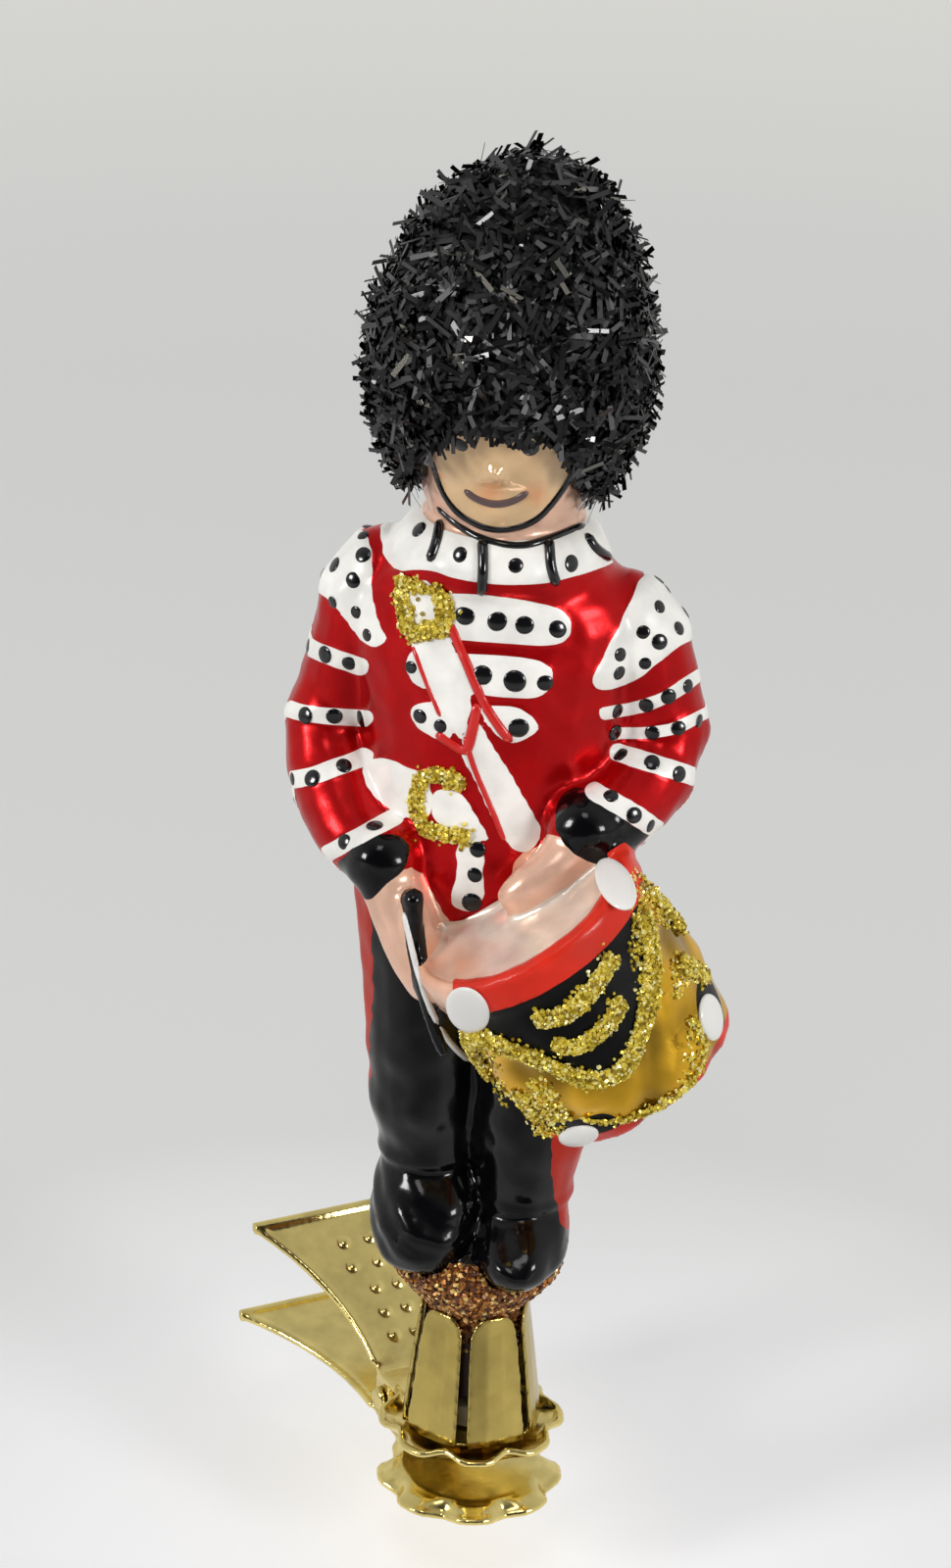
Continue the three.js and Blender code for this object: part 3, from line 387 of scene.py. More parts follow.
def limbDistance(p, line):
    best = np.full(len(p), farOff)
    for a, b in zip(line, line[1:]):
        start, reach = np.array(a[:3]), np.array(b[:3]) - np.array(a[:3])
        t = np.clip((p - start) @ reach / (reach @ reach), 0, 1)
        away = np.linalg.norm(p - start - t[:, None] * reach, axis=1)
        best = np.minimum(best, away - a[3] - (b[3] - a[3]) * t)
    return best


def ovalDistance(p, stations):
    s = np.array(stations, float)
    z = np.clip(p[:, 2], s[0, 2], s[-1, 2])
    cx, cy, wide, deep = (np.interp(z, s[:, 2], s[:, k]) for k in (0, 1, 3, 4))
    side = (np.hypot((p[:, 0] - cx) / wide, (p[:, 1] - cy) / deep) - 1) * np.minimum(wide, deep)
    over = np.abs(p[:, 2] - z)
    return np.where(over > 0, np.hypot(np.maximum(side, 0), over), side)


def drumPlaceOf(p):  # turn in degrees, height and radius about the drum's axis
    q = p - np.array(drum["centre"])
    x, y = q @ drumFront, q @ drumSide / drum["oval"]
    return np.degrees(np.arctan2(y, x)), q @ drumUp, np.hypot(x, y)


def drumDistance(p):
    _, h, r = drumPlaceOf(p)
    return np.maximum(r - np.interp(h, *zip(*drum["belly"])), np.abs(h) - drum["half"])


def toSegment(x, y, a, b):  # distance of points from a straight line between two places
    d = b - a
    t = np.clip(((x - a[0]) * d[0] + (y - a[1]) * d[1]) / max(d @ d, 1e-9), 0, 1)
    return np.hypot(x - a[0] - t * d[0], y - a[1] - t * d[1])


def insideOutline(x, y, outline):  # signed distance, positive inside
    o = np.array(outline, float)
    best = np.full(len(x), farOff)
    inside = np.zeros(len(x), bool)
    for a, b in zip(o, np.roll(o, -1, axis=0)):
        best = np.minimum(best, toSegment(x, y, a, b))
        rise = b[1] - a[1] if b[1] != a[1] else 1e-9
        inside ^= ((a[1] > y) != (b[1] > y)) & (x < (y - a[1]) / rise * (b[0] - a[0]) + a[0])
    return np.where(inside, best, -best)


def alongStroke(x, y, line, width):  # positive within half the width of an open line
    o = np.array(line, float)
    return width / 2 - np.min([toSegment(x, y, a, b) for a, b in zip(o, o[1:])], axis=0)


def rounded(outline, rounds=2, closed=True):  # cuts the corners of a given outline
    o = np.array(outline, float)
    for _ in range(rounds):
        n = np.roll(o, -1, axis=0) if closed else o[1:]
        a = o if closed else o[:-1]
        cut = np.stack([a * 0.75 + n * 0.25, a * 0.25 + n * 0.75], axis=1).reshape(-1, 2)
        o = cut if closed else np.concatenate([o[:1], cut, o[-1:]])
    return o


def ease(v, low, high):
    t = np.clip((v - low) / (high - low), 0, 1)
    return t * t * (3 - 2 * t)


def blowGlass():
    bm = mergedCopy("glass_figure")
    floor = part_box("glass_figure")[0].z + glass["neckTrim"]
    every = bm.verts[:] + bm.edges[:] + bm.faces[:]
    bmesh.ops.bisect_plane(bm, geom=every, plane_co=(0, 0, floor), plane_no=(0, 0, 1), clear_inner=True)
    top = max(bm.verts, key=lambda v: v.co.z)  # the outer skin holds the highest point
    outer, stack = {top}, [top]
    while stack:
        v = stack.pop()
        fresh = {e.other_vert(v) for e in v.link_edges} - outer
        outer |= fresh
        stack += fresh
    bmesh.ops.delete(bm, geom=[v for v in bm.verts if v not in outer], context="VERTS")
    bmesh.ops.holes_fill(bm, edges=[e for e in bm.edges if e.is_boundary], sides=0)
    return voxelled(bm, "glass_figure_lacquered", glass["voxel"], glass["rounds"])


glassMesh = blowGlass()
print("glass blown:", len(glassMesh.polygons), "faces")

# paint outlines as they lie in the picture, 970 by 1600
white = {
    "leftWing": [(310, 575), (320, 600), (343, 620), (368, 654), (382, 662), (397, 654), (385, 636),
                 (379, 598), (380, 540), (330, 530)],
    "rightWing": [(652, 590), (648, 602), (634, 633), (614, 672), (600, 699), (617, 706), (650, 695),
                  (692, 659), (714, 650), (722, 620), (690, 570)],
    "collar": [(384, 530), (396, 584), (436, 580), (462, 590), (498, 596), (542, 597), (575, 592),
               (621, 577), (650, 560), (640, 500), (400, 480)],
    "braidTop": [(440, 606), (480, 605), (534, 612), (572, 620), (584, 634), (582, 648), (568, 660),
                 (520, 657), (480, 654), (440, 650)],
    "braidMiddle": [(462, 667), (480, 667), (542, 671), (562, 680), (566, 696), (550, 713), (520, 712),
                    (496, 710), (470, 705)],
    "braidMiddleEnd": [(413, 670), (424, 663), (440, 664), (440, 704), (428, 702), (416, 690)],
    "braidLow": [(488, 721), (502, 720), (530, 721), (550, 738), (546, 750), (518, 761), (496, 740)],
    "braidLowEnd": [(418, 722), (430, 716), (460, 718), (462, 758), (440, 752), (422, 740)],
    "beltLeft": [(367, 786), (376, 776), (393, 772), (423, 786), (440, 790), (440, 838), (419, 836),
                 (399, 827), (378, 810)],
    "beltRight": [(440, 803), (472, 808), (482, 828), (503, 860), (490, 856), (466, 851), (440, 838)],
    "placket": [(466, 850), (494, 856), (493, 885), (494, 919), (480, 933), (456, 922), (466, 900)],
}
crossBelt = {
    "upper": [(398, 596), (446, 590), (456, 641), (474, 690), (483, 712), (472, 757), (458, 742), (433, 699),
              (418, 650)],
    "lower": [(466, 762), (484, 730), (500, 756), (552, 842), (550, 860), (534, 872), (516, 862),
              (492, 812)],
    "behind": [(396, 560), (440, 560), (560, 850), (520, 880)],
}
sleeves = {  # centre line in the picture and width
    "leftArm": [([(300, 652), (331, 668), (368, 680)], 18), ([(286, 720), (311, 729), (372, 733)], 17),
                ([(286, 797), (318, 793), (372, 772)], 18), ([(334, 871), (366, 853), (403, 834)], 17)],
    "rightArm": [([(617, 728), (659, 720), (682, 711), (722, 682)], 13),
                 ([(628, 748), (664, 748), (692, 743), (738, 718)], 12),
                 ([(630, 768), (666, 779), (722, 797)], 19), ([(606, 808), (640, 826), (678, 852)], 20)],
}
enamel = {
    "leftGlove": [(342, 880), (373, 856), (396, 849), (412, 855), (420, 868), (413, 887), (386, 909),
                  (377, 922), (346, 900)],
    "rightGlove": [(564, 830), (573, 810), (594, 799), (634, 836), (672, 858), (668, 884), (652, 902),
                   (630, 888), (610, 883), (585, 872), (569, 852)],
    "gloveReach": 4.15, "gloveLap": 0.6,  # millimetres
}
pearlFront = [(372, 915), (399, 959), (419, 1014), (452, 1062), (500, 1030), (560, 990), (640, 920),
              (640, 870), (612, 882), (585, 871), (566, 850), (548, 866), (530, 868), (514, 912), (493, 933),
              (468, 943), (457, 940), (446, 919), (429, 893), (416, 882)]
facePaint = [(447, 440), (447, 490), (460, 515), (476, 530), (505, 542), (544, 535), (567, 510), (588, 477),
             (590, 430)]
# warm spots on skin, place and radius: blush on the cheeks, and painted warm shade on the hand where it meets
# the drum
blushAndWarmShade = [(500, 503, 20), (546, 504, 17), (441, 985, 34), (470, 985, 30)]
relief = [  # place and radius in the picture, height in millimetres: nose, cheeks, chin, eye hollows
    (506, 481, 9, 1.1), (474, 502, 17, 0.3), (546, 502, 17, 0.3), (508, 527, 15, 0.3), (472, 458, 14, -0.25),
    (540, 458, 14, -0.25),
]
cuffs = {"left": 10.5, "right": 6.5}  # millimetres above the soles
seamBack = {"left": 0.2, "right": 0.8}  # millimetres behind the middle, where the stripes end
stripes = {
    "left": [(330, 900), (380, 905), (378, 950), (381, 1010), (380, 1070), (378, 1110), (373, 1150),
             (370, 1180), (330, 1184)],
    "right": [(580, 880), (571, 1000), (563, 1120), (562, 1190), (566, 1225), (570, 1252), (584, 1256),
              (640, 1250), (640, 880)],
}
folds = {  # in millimetres
    "between": -0.3, "legX": (-5.6, 4.7), "rightShift": 1.9, "edge": (0.0, 1.5),
    "ring": 0.12, "ringWave": 0.8, "ringSway": 1.6, "ringFrom": (0, 3), "ringTo": (9, 16),
    "crease": 0.09, "creases": 5, "creaseTwist": 0.12, "creaseFrom": (2, 8),
    "knee": 0.35, "kneeZ": 24, "kneeHalf": 3.2, "hem": 0.28, "hemZ": 0.6, "hemHalf": 0.7,
    "dent": 0.2, "dentWaves": [(1.15, 0, 0.9), (0, 0.9, -1.2)], "dentTo": (-1.5, 0.5),
}
belt = {"z": 52.2, "half": 1.9}  # the waist belt behind
hair = {"z": 90, "back": 2, "nape": 80.5}  # black above this height, and lower down behind
enamelRise = {"white": 0.13, "black": 0.05, "edge": (-0.1, 0.25)}
creases = {  # in the drum's amber lacquer: waves round it and up it, with their shifts
    "rise": 0.36, "from": (5.0, 9.0), "creaseShadeRange": (-0.9, 0.55), "edge": (0.0, 1.0), "fine": 0.25,
    "waves": [((0.42, 0.3), 0), ((-0.2, 0.5), 1), ((1.3, -0.7), 0)],
}
tremor = [((1.3, 0, 1.9), 0, 0.7), ((-2.9, 0, 3.7), 1, 0.5)]  # of the brush: wave, shift, pixels
reliefEdge = (0.0, 0.2)
sideways = (0.0, 0.3)  # how far the glass faces the eye where the front's paint gives way to the back's
turnedAway = (-0.05, 0.1)  # and where paint that only the front has ends
turnedDepths = (-2, 7)  # what that paint's depth is held to there
notHere = -9  # a depth that no paint reaches
deepest = 3  # millimetres, how far from its edge a paint's depth is told
middleY = 0.3  # millimetres, where the back begins


def wave(places, along, shift):
    return np.sin(places @ np.array(along) + shift)


def bulge(z, middle, half):
    return np.exp(-((z - middle) / half) ** 2)


def trouserFolds(p):  # knees, long creases, slack cloth above the cuffs, and dented boots
    z, left = p[:, 2], p[:, 0] < folds["between"]
    turn = np.arctan2(p[:, 1], p[:, 0] - np.where(left, *folds["legX"]))
    side = np.where(left, 0.0, folds["rightShift"])
    above = z - np.where(left, cuffs["left"], cuffs["right"])
    rings = np.sin(z * folds["ringWave"] + folds["ringSway"] * np.sin(turn * 2 + side) + side) * folds["ring"]
    rings *= ease(above, *folds["ringFrom"]) * (1 - ease(above, *folds["ringTo"]))
    long = np.sin(turn * folds["creases"] + z * folds["creaseTwist"] + side) * folds["crease"]
    long *= ease(above, *folds["creaseFrom"])
    knees = bulge(z, folds["kneeZ"], folds["kneeHalf"]) * np.maximum(-np.sin(turn), 0) * folds["knee"]
    hem = bulge(above, folds["hemZ"], folds["hemHalf"]) * folds["hem"]
    first, second = (wave(p, along, side) for along in folds["dentWaves"])
    dents = first * second * folds["dent"] * (1 - ease(above, *folds["dentTo"]))
    return rings + long + knees + hem + dents


def paintFigure(mesh):
    mesh.update()
    co, normal = vectorsOf(mesh), vectorsOf(mesh, "normal")
    p = co / mm - np.array((0, 0, soleZ))
    facing = ((eye - co) * normal).sum(1) / np.linalg.norm(eye - co, axis=1)
    x, y = seenAt(co)
    x = x + sum(wave(p, along, shift) * pixels for along, shift, pixels in tremor)
    mirrored = co.copy()
    mirrored[:, 1] = np.minimum(mirrored[:, 1], 2 * middleY * mm - mirrored[:, 1])
    fx, fy = seenAt(mirrored)  # the back painted as the front is
    behind = p[:, 1] > middleY
    reach = {name: limbDistance(p, line) for name, line in limbs.items()}
    reach.update({name: ovalDistance(p, rings) for name, rings in ovals.items()})
    reach["drum"] = drumDistance(p)

    def within(*group):  # how far a point lies on these parts' side of a crease
        mine = np.min([reach[n] for n in group], axis=0)
        return np.min([reach[n] for n in reach if n not in group], axis=0) - mine

    def seenInside(outline, rounds=2):
        return insideOutline(x, y, rounded(outline, rounds)) / pixelsPerMm

    def frontOnly(outline, rounds=2):
        held = np.interp(ease(facing, *turnedAway), (0, 1), turnedDepths)
        return np.minimum(seenInside(outline, rounds), held)

    def bothSides(outline):
        px, py = np.where(behind, fx, x), np.where(behind, fy, y)
        return insideOutline(px, py, rounded(outline)) / pixelsPerMm

    body, legs, head = within("torso", "leftArm", "rightArm"), within("leftLeg", "rightLeg"), within("head")
    turn, height, radius = drumPlaceOf(p)
    onDrum = within("drum")
    d = (turn - drum["middleTurn"] + 180) % 360 - 180
    folded = np.where(np.abs(d) > drum["foldTurn"], np.sign(d) * (2 * drum["foldTurn"] - np.abs(d)), d)
    arc = np.radians(folded + drum["middleTurn"]) * drum["radius"]
    away = 1 - ease(facing, *sideways)

    # white enamel
    parts = []
    for name, outline in white.items():
        laid = bothSides(outline) if name in ("leftWing", "rightWing", "collar") else frontOnly(outline)
        parts.append(np.minimum(laid, body))
    parts += [np.minimum(frontOnly(crossBelt[k], 1), body) for k in ("upper", "lower")]
    across = np.minimum(insideOutline(fx, fy, crossBelt["behind"]) / pixelsPerMm, p[:, 2] - belt["z"])
    parts.append(np.where(behind, np.minimum(across, body), notHere))
    waist = belt["half"] - np.abs(p[:, 2] - belt["z"])
    parts.append(np.where(behind, np.minimum(waist, within("torso")), notHere))
    for arm, bands in sleeves.items():
        mine, wide = within(arm), within(arm, "torso")
        for line, width in bands:
            front = alongStroke(x, y, rounded(line, 2, False), width) / pixelsPerMm
            ring = width / pixelsPerMm / 2 - np.abs(ringOffset(arm, line, p))
            parts.append(np.minimum(front, wide) * (1 - away) + np.minimum(ring, mine) * away)
    whiteDepth = np.max(parts, axis=0)

    # black enamel
    parts = [legs]
    clear = -within("drum", "leftLeg", "rightLeg", "torso") + enamel["gloveLap"]
    for arm, glove in (("leftArm", "leftGlove"), ("rightArm", "rightGlove")):
        knob = enamel["gloveReach"] - np.linalg.norm(p - np.array(limbs[arm][-1][:3]), axis=1)
        parts.append(np.minimum(seenInside(enamel[glove]) * (1 - away) + knob * away, clear))
    parts += [within("stick"), within("ground")]
    nape = np.minimum(p[:, 1] - hair["back"], p[:, 2] - hair["nape"])
    parts.append(np.minimum(head, np.maximum(p[:, 2] - hair["z"], nape)))
    degrees = math.radians(1) * drum["radius"]
    field = np.array([(a * degrees, h) for a, h in drum["swag"]])
    hollow = np.minimum(insideOutline(arc, height, rounded(field, 1)), drum["swagTop"] - height)
    side, low = drum["sideCorner"], drum["lowCorner"]
    sideCorner = side["radius"] - np.hypot((turn - side["turn"]) * degrees, height - side["height"])
    along = np.maximum(np.abs(arc - low["turn"] * degrees) - low["half"], 0)
    lowCorner = low["radius"] - np.hypot(along, height - low["height"])
    fieldDepth = np.minimum(onDrum, np.max([hollow, sideCorner, lowCorner], axis=0))
    parts.append(fieldDepth)
    blackDepth = np.max(parts, axis=0)

    # red enamel of the hoops and the trouser stripes
    shown = np.where(facing > 0, (x - drum["hoopFrom"]) / pixelsPerMm, -notHere)
    hoop = np.min([height - drum["hoopLow"], radius - drum["hoopInner"], shown], axis=0)
    foot = np.minimum(drum["footHoop"] - height, radius - drum["footInner"])
    seams = [np.minimum(seenInside(stripes[k]), seamBack[k] - p[:, 1]) for k in stripes]

    # lacquer and the painted skin
    amberDepth = np.minimum(onDrum, drum["hoopLow"] - height)
    headDisc = np.min([onDrum, height - drum["headLow"], drum["headRadius"] - radius], axis=0)
    lap = np.minimum(frontOnly(pearlFront, 1), -within("leftLeg", "rightLeg", "stick"))
    warm = np.max([1 - np.hypot(x - bx, y - by) / r for bx, by, r in blushAndWarmShade], axis=0)
    layers = {
        "white": whiteDepth, "black": blackDepth, "field": fieldDepth,
        "red": np.minimum(onDrum, np.maximum(hoop, foot)), "shadedStripe": np.minimum(np.max(seams, axis=0), legs),
        "amber": amberDepth, "pearl": np.max([within("leftHand", "rightHand"), head, headDisc, lap], axis=0),
        "face": np.minimum(frontOnly(facePaint, 1), head), "cream": headDisc,
        "blushAndWarmShade": np.where(facing > 0, warm, -1),
    }
    for name, depth in layers.items():
        setAttribute(mesh, name, np.clip(depth, -deepest, deepest))

    # low relief of the glass and its paint
    lift = sum(wave(p, a, 0) * wave(p, b, shift) * high for a, b, shift, high in glass["ripples"])
    lift += trouserFolds(p) * ease(legs, *folds["edge"])
    lift += ease(whiteDepth, *enamelRise["edge"]) * enamelRise["white"]
    lift += ease(blackDepth, *enamelRise["edge"]) * enamelRise["black"]
    rolled = np.stack([arc, height], axis=1)
    broad, crossing, fine = (wave(rolled, along, shift) for along, shift in creases["waves"])
    creased = (broad * crossing + fine * creases["fine"]) * ease(radius, *creases["from"])
    lift += creased * creases["rise"] * ease(np.minimum(amberDepth, -blackDepth), *creases["edge"])
    creaseShade = np.where(amberDepth > 0, ease(creased, *creases["creaseShadeRange"]), 1.0)  # darker in the hollows of the creases: painted shade
    setAttribute(mesh, "creaseShade", creaseShade)
    for bx, by, r, high in relief:
        mound = high * np.exp(-((x - bx) ** 2 + (y - by) ** 2) / r ** 2)
        lift += mound * ease(np.minimum(head, facing), *reliefEdge)
    setCoords(mesh, co + normal * (lift * mm)[:, None])


def hitAt(x, y):
    place, normal, _, _ = skin.ray_cast(Vector(eye), sightLine(x, y))
    return place, normal


ringPlanes = {}


def ringOffset(arm, line, p):  # distance along the sleeve from the plane of a stripe
    key = (arm, line[0])
    if key not in ringPlanes:
        hits = [hitAt(*mark)[0] for mark in rounded(line, 2, False)]
        struck = [np.array(h) / mm - (0, 0, soleZ) for h in hits if h is not None]
        a, b = struck[len(struck) // 4], struck[-1 - len(struck) // 4]
        stations = np.array(limbs[arm])[:, :3]
        k = int(np.argmin(np.linalg.norm(stations - a, axis=1)))
        k = min(max(k, 1), len(stations) - 2)
        along = stations[k + 1] - stations[k - 1]
        chord = (b - a) / np.linalg.norm(b - a)
        along = along - chord * (along @ chord)
        ringPlanes[key] = ((a + b) / 2, along / np.linalg.norm(along))
    middle, along = ringPlanes[key]
    return (p - middle) @ along


def treeOf(mesh):
    bm = bmOf(mesh)
    made = BVHTree.FromBMesh(bm)
    bm.free()
    return made


skin = treeOf(glassMesh)
paintFigure(glassMesh)
skin = treeOf(glassMesh)
print("paint laid on the glass")

finishes = {  # colour, metallic, roughness, specular level, from the lowest layer up
    "coat": (tint(186, 8, 14), 0.55, 0.27, 0.2),
    "amber": (tint(218, 168, 40), 0.8, 0.08, 0.4),
    "pearl": (tint(240, 194, 168), 0.35, 0.28, 0.5),
    "cream": (tint(244, 226, 210), 0.35, 0.28, 0.5),
    "face": (tint(232, 194, 147), 0.12, 0.15, 0.7),
    # blush on the cheeks, and painted warm shade on the hand by the drum
    "blushAndWarmShade": (tint(236, 150, 96), 0.2, 0.3, 0.5),
    "black": (tint(6, 6, 8), 0.0, 0.14, 0.3),
    "field": (tint(5, 5, 6), 0.0, 0.4, 0.15),
    "red": (tint(222, 48, 30), 0.0, 0.3, 0.2),
    # the trouser stripes' red, darker than the hoops' red: painted shade
    "shadedStripe": (tint(176, 40, 26), 0.0, 0.36, 0.15),
    "white": (tint(250, 248, 242), 0.0, 0.3, 0.5),
}
paintEdge = 0.025  # half the width of a paint's edge, in millimetres


def lacquerMaterial():
    material, tree, shader = newMaterial("lacquerAndEnamel")

    def sharp(name):
        return spread(tree, attributeOf(tree, name), 0.0, 1.0, -paintEdge, paintEdge)

    colour, *held = finishes["coat"]
    for name, (hue, *values) in finishes.items():
        if name == "coat":
            continue
        if name == "blushAndWarmShade":  # soft, and only on skin
            soft = spread(tree, attributeOf(tree, name), 0.0, 0.6, fromHigh=0.9)
            edge = mathOf(tree, "MULTIPLY", soft, sharp("pearl"))
        else:
            edge = sharp(name)
        colour = mixed(tree, edge, colour, hue)
        held = [mixedValue(tree, edge, below, value) for below, value in zip(held, values)]
    mottle = spread(tree, noiseOf(tree, 260.0, detail=4.0), 0.86, 1.12, fromLow=0.3, fromHigh=0.7)
    # random mottle, times painted shade in the hollows of the amber's creases
    mottleAndCreaseShade = mathOf(tree, "MULTIPLY", mottle, spread(tree, attributeOf(tree, "creaseShade"), 0.42, 1.0))
    setInputs(tree, shader, {
        "Base Color": mixed(tree, 1.0, colour, mottleAndCreaseShade, "MULTIPLY"),
        **dict(zip(("Metallic", "Roughness", "Specular IOR Level"), held)),
        "Normal": bumpOf(tree, noiseOf(tree, 900.0), strength=0.12, distance=0.0002),
        "Coat Weight": 0.06, "Coat Roughness": 0.08,
    })
    return material


glassPiece = newPiece("glass_figure_lacquered", glassMesh, lacquerMaterial(), figureBody)
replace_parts(glassPiece, "glass_figure")
print("figure painted")

# enamel drops: dots on braid, sleeves, wings and collar, lugs on the drum
drops = {
    "seed": 11, "rise": 0.24, "sink": 0.05, "ringStep": 30, "ringSize": 0.72, "ringReach": (9, 7.5),
    "hidden": -0.12, "square": 0.6, "uneven": (0.94, 0.12),
    "front": {  # picture place and radius
        "leftWing": [
            (341, 576, 8.5), (370, 566, 8), (325, 593, 7), (360, 592, 8.5), (339, 615, 6.5), (363, 625, 7),
            (374, 648, 7), (345, 557, 6), (370, 546, 6),
        ],
        "collarAndBraid": [
            (427, 540, 9), (414, 518, 6), (469, 566, 8), (526, 577, 8), (583, 575, 9), (474, 628, 10),
            (507, 634, 10), (535, 638, 10), (569, 642, 9), (492, 689, 10.5), (525, 695, 11), (556, 697, 8),
            (419, 681, 7), (529, 743, 10.5), (428, 731, 8), (449, 741, 7),
        ],
        "leftSleeve": [
            (314, 659, 8), (331, 668, 9), (356, 677, 8), (311, 730, 9), (341, 731, 8.5), (368, 734, 9.5),
            (298, 795, 7), (318, 794, 9), (351, 781, 8), (351, 859, 8), (382, 842, 9),
        ],
        "rightWing": [
            (672, 591, 7), (673, 619, 7), (696, 615, 7), (656, 645, 7.5), (693, 641, 7), (673, 655, 8),
            (633, 668, 7.5), (658, 677, 6.5), (632, 687, 7.5),
        ],
        "rightSleeve": [
            (630, 726, 8), (659, 720, 7.5), (682, 711, 8), (702, 700, 7), (628, 748, 9), (665, 748, 7.5),
            (692, 743, 7.5), (714, 736, 7), (633, 770, 8.5), (665, 778, 8.5), (693, 790, 8.5),
            (623, 812, 7.5), (647, 832, 8.5), (664, 843, 7),
        ],
        "placketAndEyes": [(487, 867, 8.5), (484, 893, 8), (481, 921, 11), (541, 457, 10), (470, 454, 9)],
    },
}


def dropMaterial(name, colour, roughness):
    material, tree, shader = newMaterial(name)
    setInputs(tree, shader, {
        "Base Color": rampOf(tree, attributeOf(tree), [(0.0, darker(colour, 0.8)), (1.0, colour)]),
        "Roughness": spread(tree, noiseOf(tree, 1500.0), roughness * 0.8, roughness * 1.3),
        "Coat Weight": 0.3,
    })
    return material


blackDrop = dropMaterial("blackEnamelDrops", tint(12, 12, 14), 0.16)
whiteDrop = dropMaterial("whiteEnamelDrops", tint(242, 240, 236), 0.3)


def ringHits():  # the sleeves' rings of dots go on round the back
    far, near = drops["ringReach"]
    for (arm, _), (middle, along) in ringPlanes.items():
        stations = np.array(limbs[arm])[:, :3]
        station = stations[int(np.argmin(np.linalg.norm(stations - middle, axis=1)))]
        hub = station - along * ((station - middle) @ along)
        start = np.cross(along, (1.0, 0.0, 0.0))
        u = start / np.linalg.norm(start)
        for degrees in range(drops["ringStep"] // 2, 360, drops["ringStep"]):
            a = math.radians(degrees)
            out = u * math.cos(a) + np.cross(along, u) * math.sin(a)
            origin = Vector((hub + out * far + (0, 0, soleZ)) * mm)
            place, normal, _, _ = skin.ray_cast(origin, Vector(-out), near * mm)
            if place is None:
                continue
            sight = (Vector(eye) - place).normalized()
            if normal.dot(sight) < drops["hidden"] and normal.dot(Vector(out)) > drops["square"]:
                yield place, normal


def makeDrops():
    rng = np.random.default_rng(drops["seed"])
    spots = []
    for group in drops["front"].values():
        spots += [(*hitAt(x, y), r / pixelsPerMm) for x, y, r in group]
    spots += [(place, normal, drops["ringSize"]) for place, normal in ringHits()]
    for x, y, r in drops["front"]["leftWing"] + drops["front"]["rightWing"]:  # repeated behind
        aim = np.array(sightLine(x, y)) * (1, -1, 1)
        place, normal, _, _ = skin.ray_cast(Vector(eye * (1, -1, 1)), Vector(aim))
        if place is not None and place.y > 0:
            spots.append((place, normal, r / pixelsPerMm))
    spots = [spot for spot in spots if spot[0] is not None]
    count = len(spots)
    places, normals = (np.array([list(spot[k]) for spot in spots]) for k in (0, 1))
    sizes = np.array([spot[2] for spot in spots])[:, None] * mm
    frames = framesAlong(normals, rng.random(count) * wholeTurn)
    least, more = drops["uneven"]
    wide = sizes * (least + more * rng.random((count, 2)))
    frames = frames * np.concatenate([wide, sizes * drops["rise"]], axis=1)[:, None, :]
    ball = templateOf(bmesh.ops.create_icosphere, subdivisions=3, radius=1.0)
    mesh = sown("enamel_dots", ball, frames, places - normals * sizes * drops["sink"], rng.random(count))
    newPiece("enamel_dots", mesh, blackDrop, figureBody)
    print("enamel dots:", count)


def makeLugs():  # each laid on the drum so that the picture shows an oval of the given half sizes
    places, frames = [], []
    for x, y, wide, tall, lean in drum["lugs"]:
        place, normal = (np.array(v) for v in hitAt(x, y))
        c, s = math.cos(math.radians(lean)), math.sin(math.radians(lean))
        sides = [rightward * c - upward * s, rightward * s + upward * c]
        flat = [v - backward * (v @ normal) / max(backward @ normal, drum["lugSlant"]) for v in sides]
        columns = [v * size / pixelsPerMm * mm for v, size in zip(flat, (wide, tall))]
        frames.append(np.stack(columns + [normal * drum["lugRise"] * mm], axis=1))
        places.append(place)
    ball = templateOf(bmesh.ops.create_icosphere, subdivisions=4, radius=1.0)
    mesh = sown("drum_lugs", ball, np.array(frames), np.array(places), np.full(len(places), drum["lugTone"]))
    newPiece("drum_lugs", mesh, whiteDrop, figureBody)
    print("drum lugs:", len(places))


makeDrops()
makeLugs()

# enamel lines: strap, mouth, collar drips, belt edging, stick
brush = {"jump": 1.4 * mm, "step": 4, "blunt": 0.12, "sides": 8, "tone": 0.7}  # step in pixels
strokes = {
    "black": [
        ([(441, 470), (447, 492), (457, 513), (474, 530), (505, 543), (544, 535), (567, 510), (580, 490),
          (590, 468)], 8, 0.35),
        ([(446, 518), (466, 536), (488, 549), (530, 559), (564, 548), (596, 535)], 8, 0.35),
        ([(449, 530), (446, 552), (438, 573)], 11, 0.5), ([(492, 550), (493, 580), (491, 607)], 11, 0.5),
        ([(560, 550), (562, 580), (568, 597)], 11, 0.5), ([(598, 545), (608, 562), (631, 574)], 11, 0.5),
    ],
    "mouth": [([(474, 500), (484, 509), (505, 516), (526, 511), (538, 502)], 8, 0.3)],
    "edging": [([(458, 636), (474, 672), (490, 712), (506, 738), (521, 757)], 10, 0.25),
               ([(421, 660), (434, 696), (449, 731)], 5, 0.3),
               ([(474, 752), (483, 784), (500, 822), (514, 858)], 6, 0.3),
               ([(445, 749), (462, 761), (476, 769), (482, 745), (487, 718)], 11, 0.22)],
    "stickWhite": [([(412, 931), (416, 950), (424, 985), (433, 1015), (446, 1045), (462, 1068), (478, 1082)],
                    7, 0.4)],
}


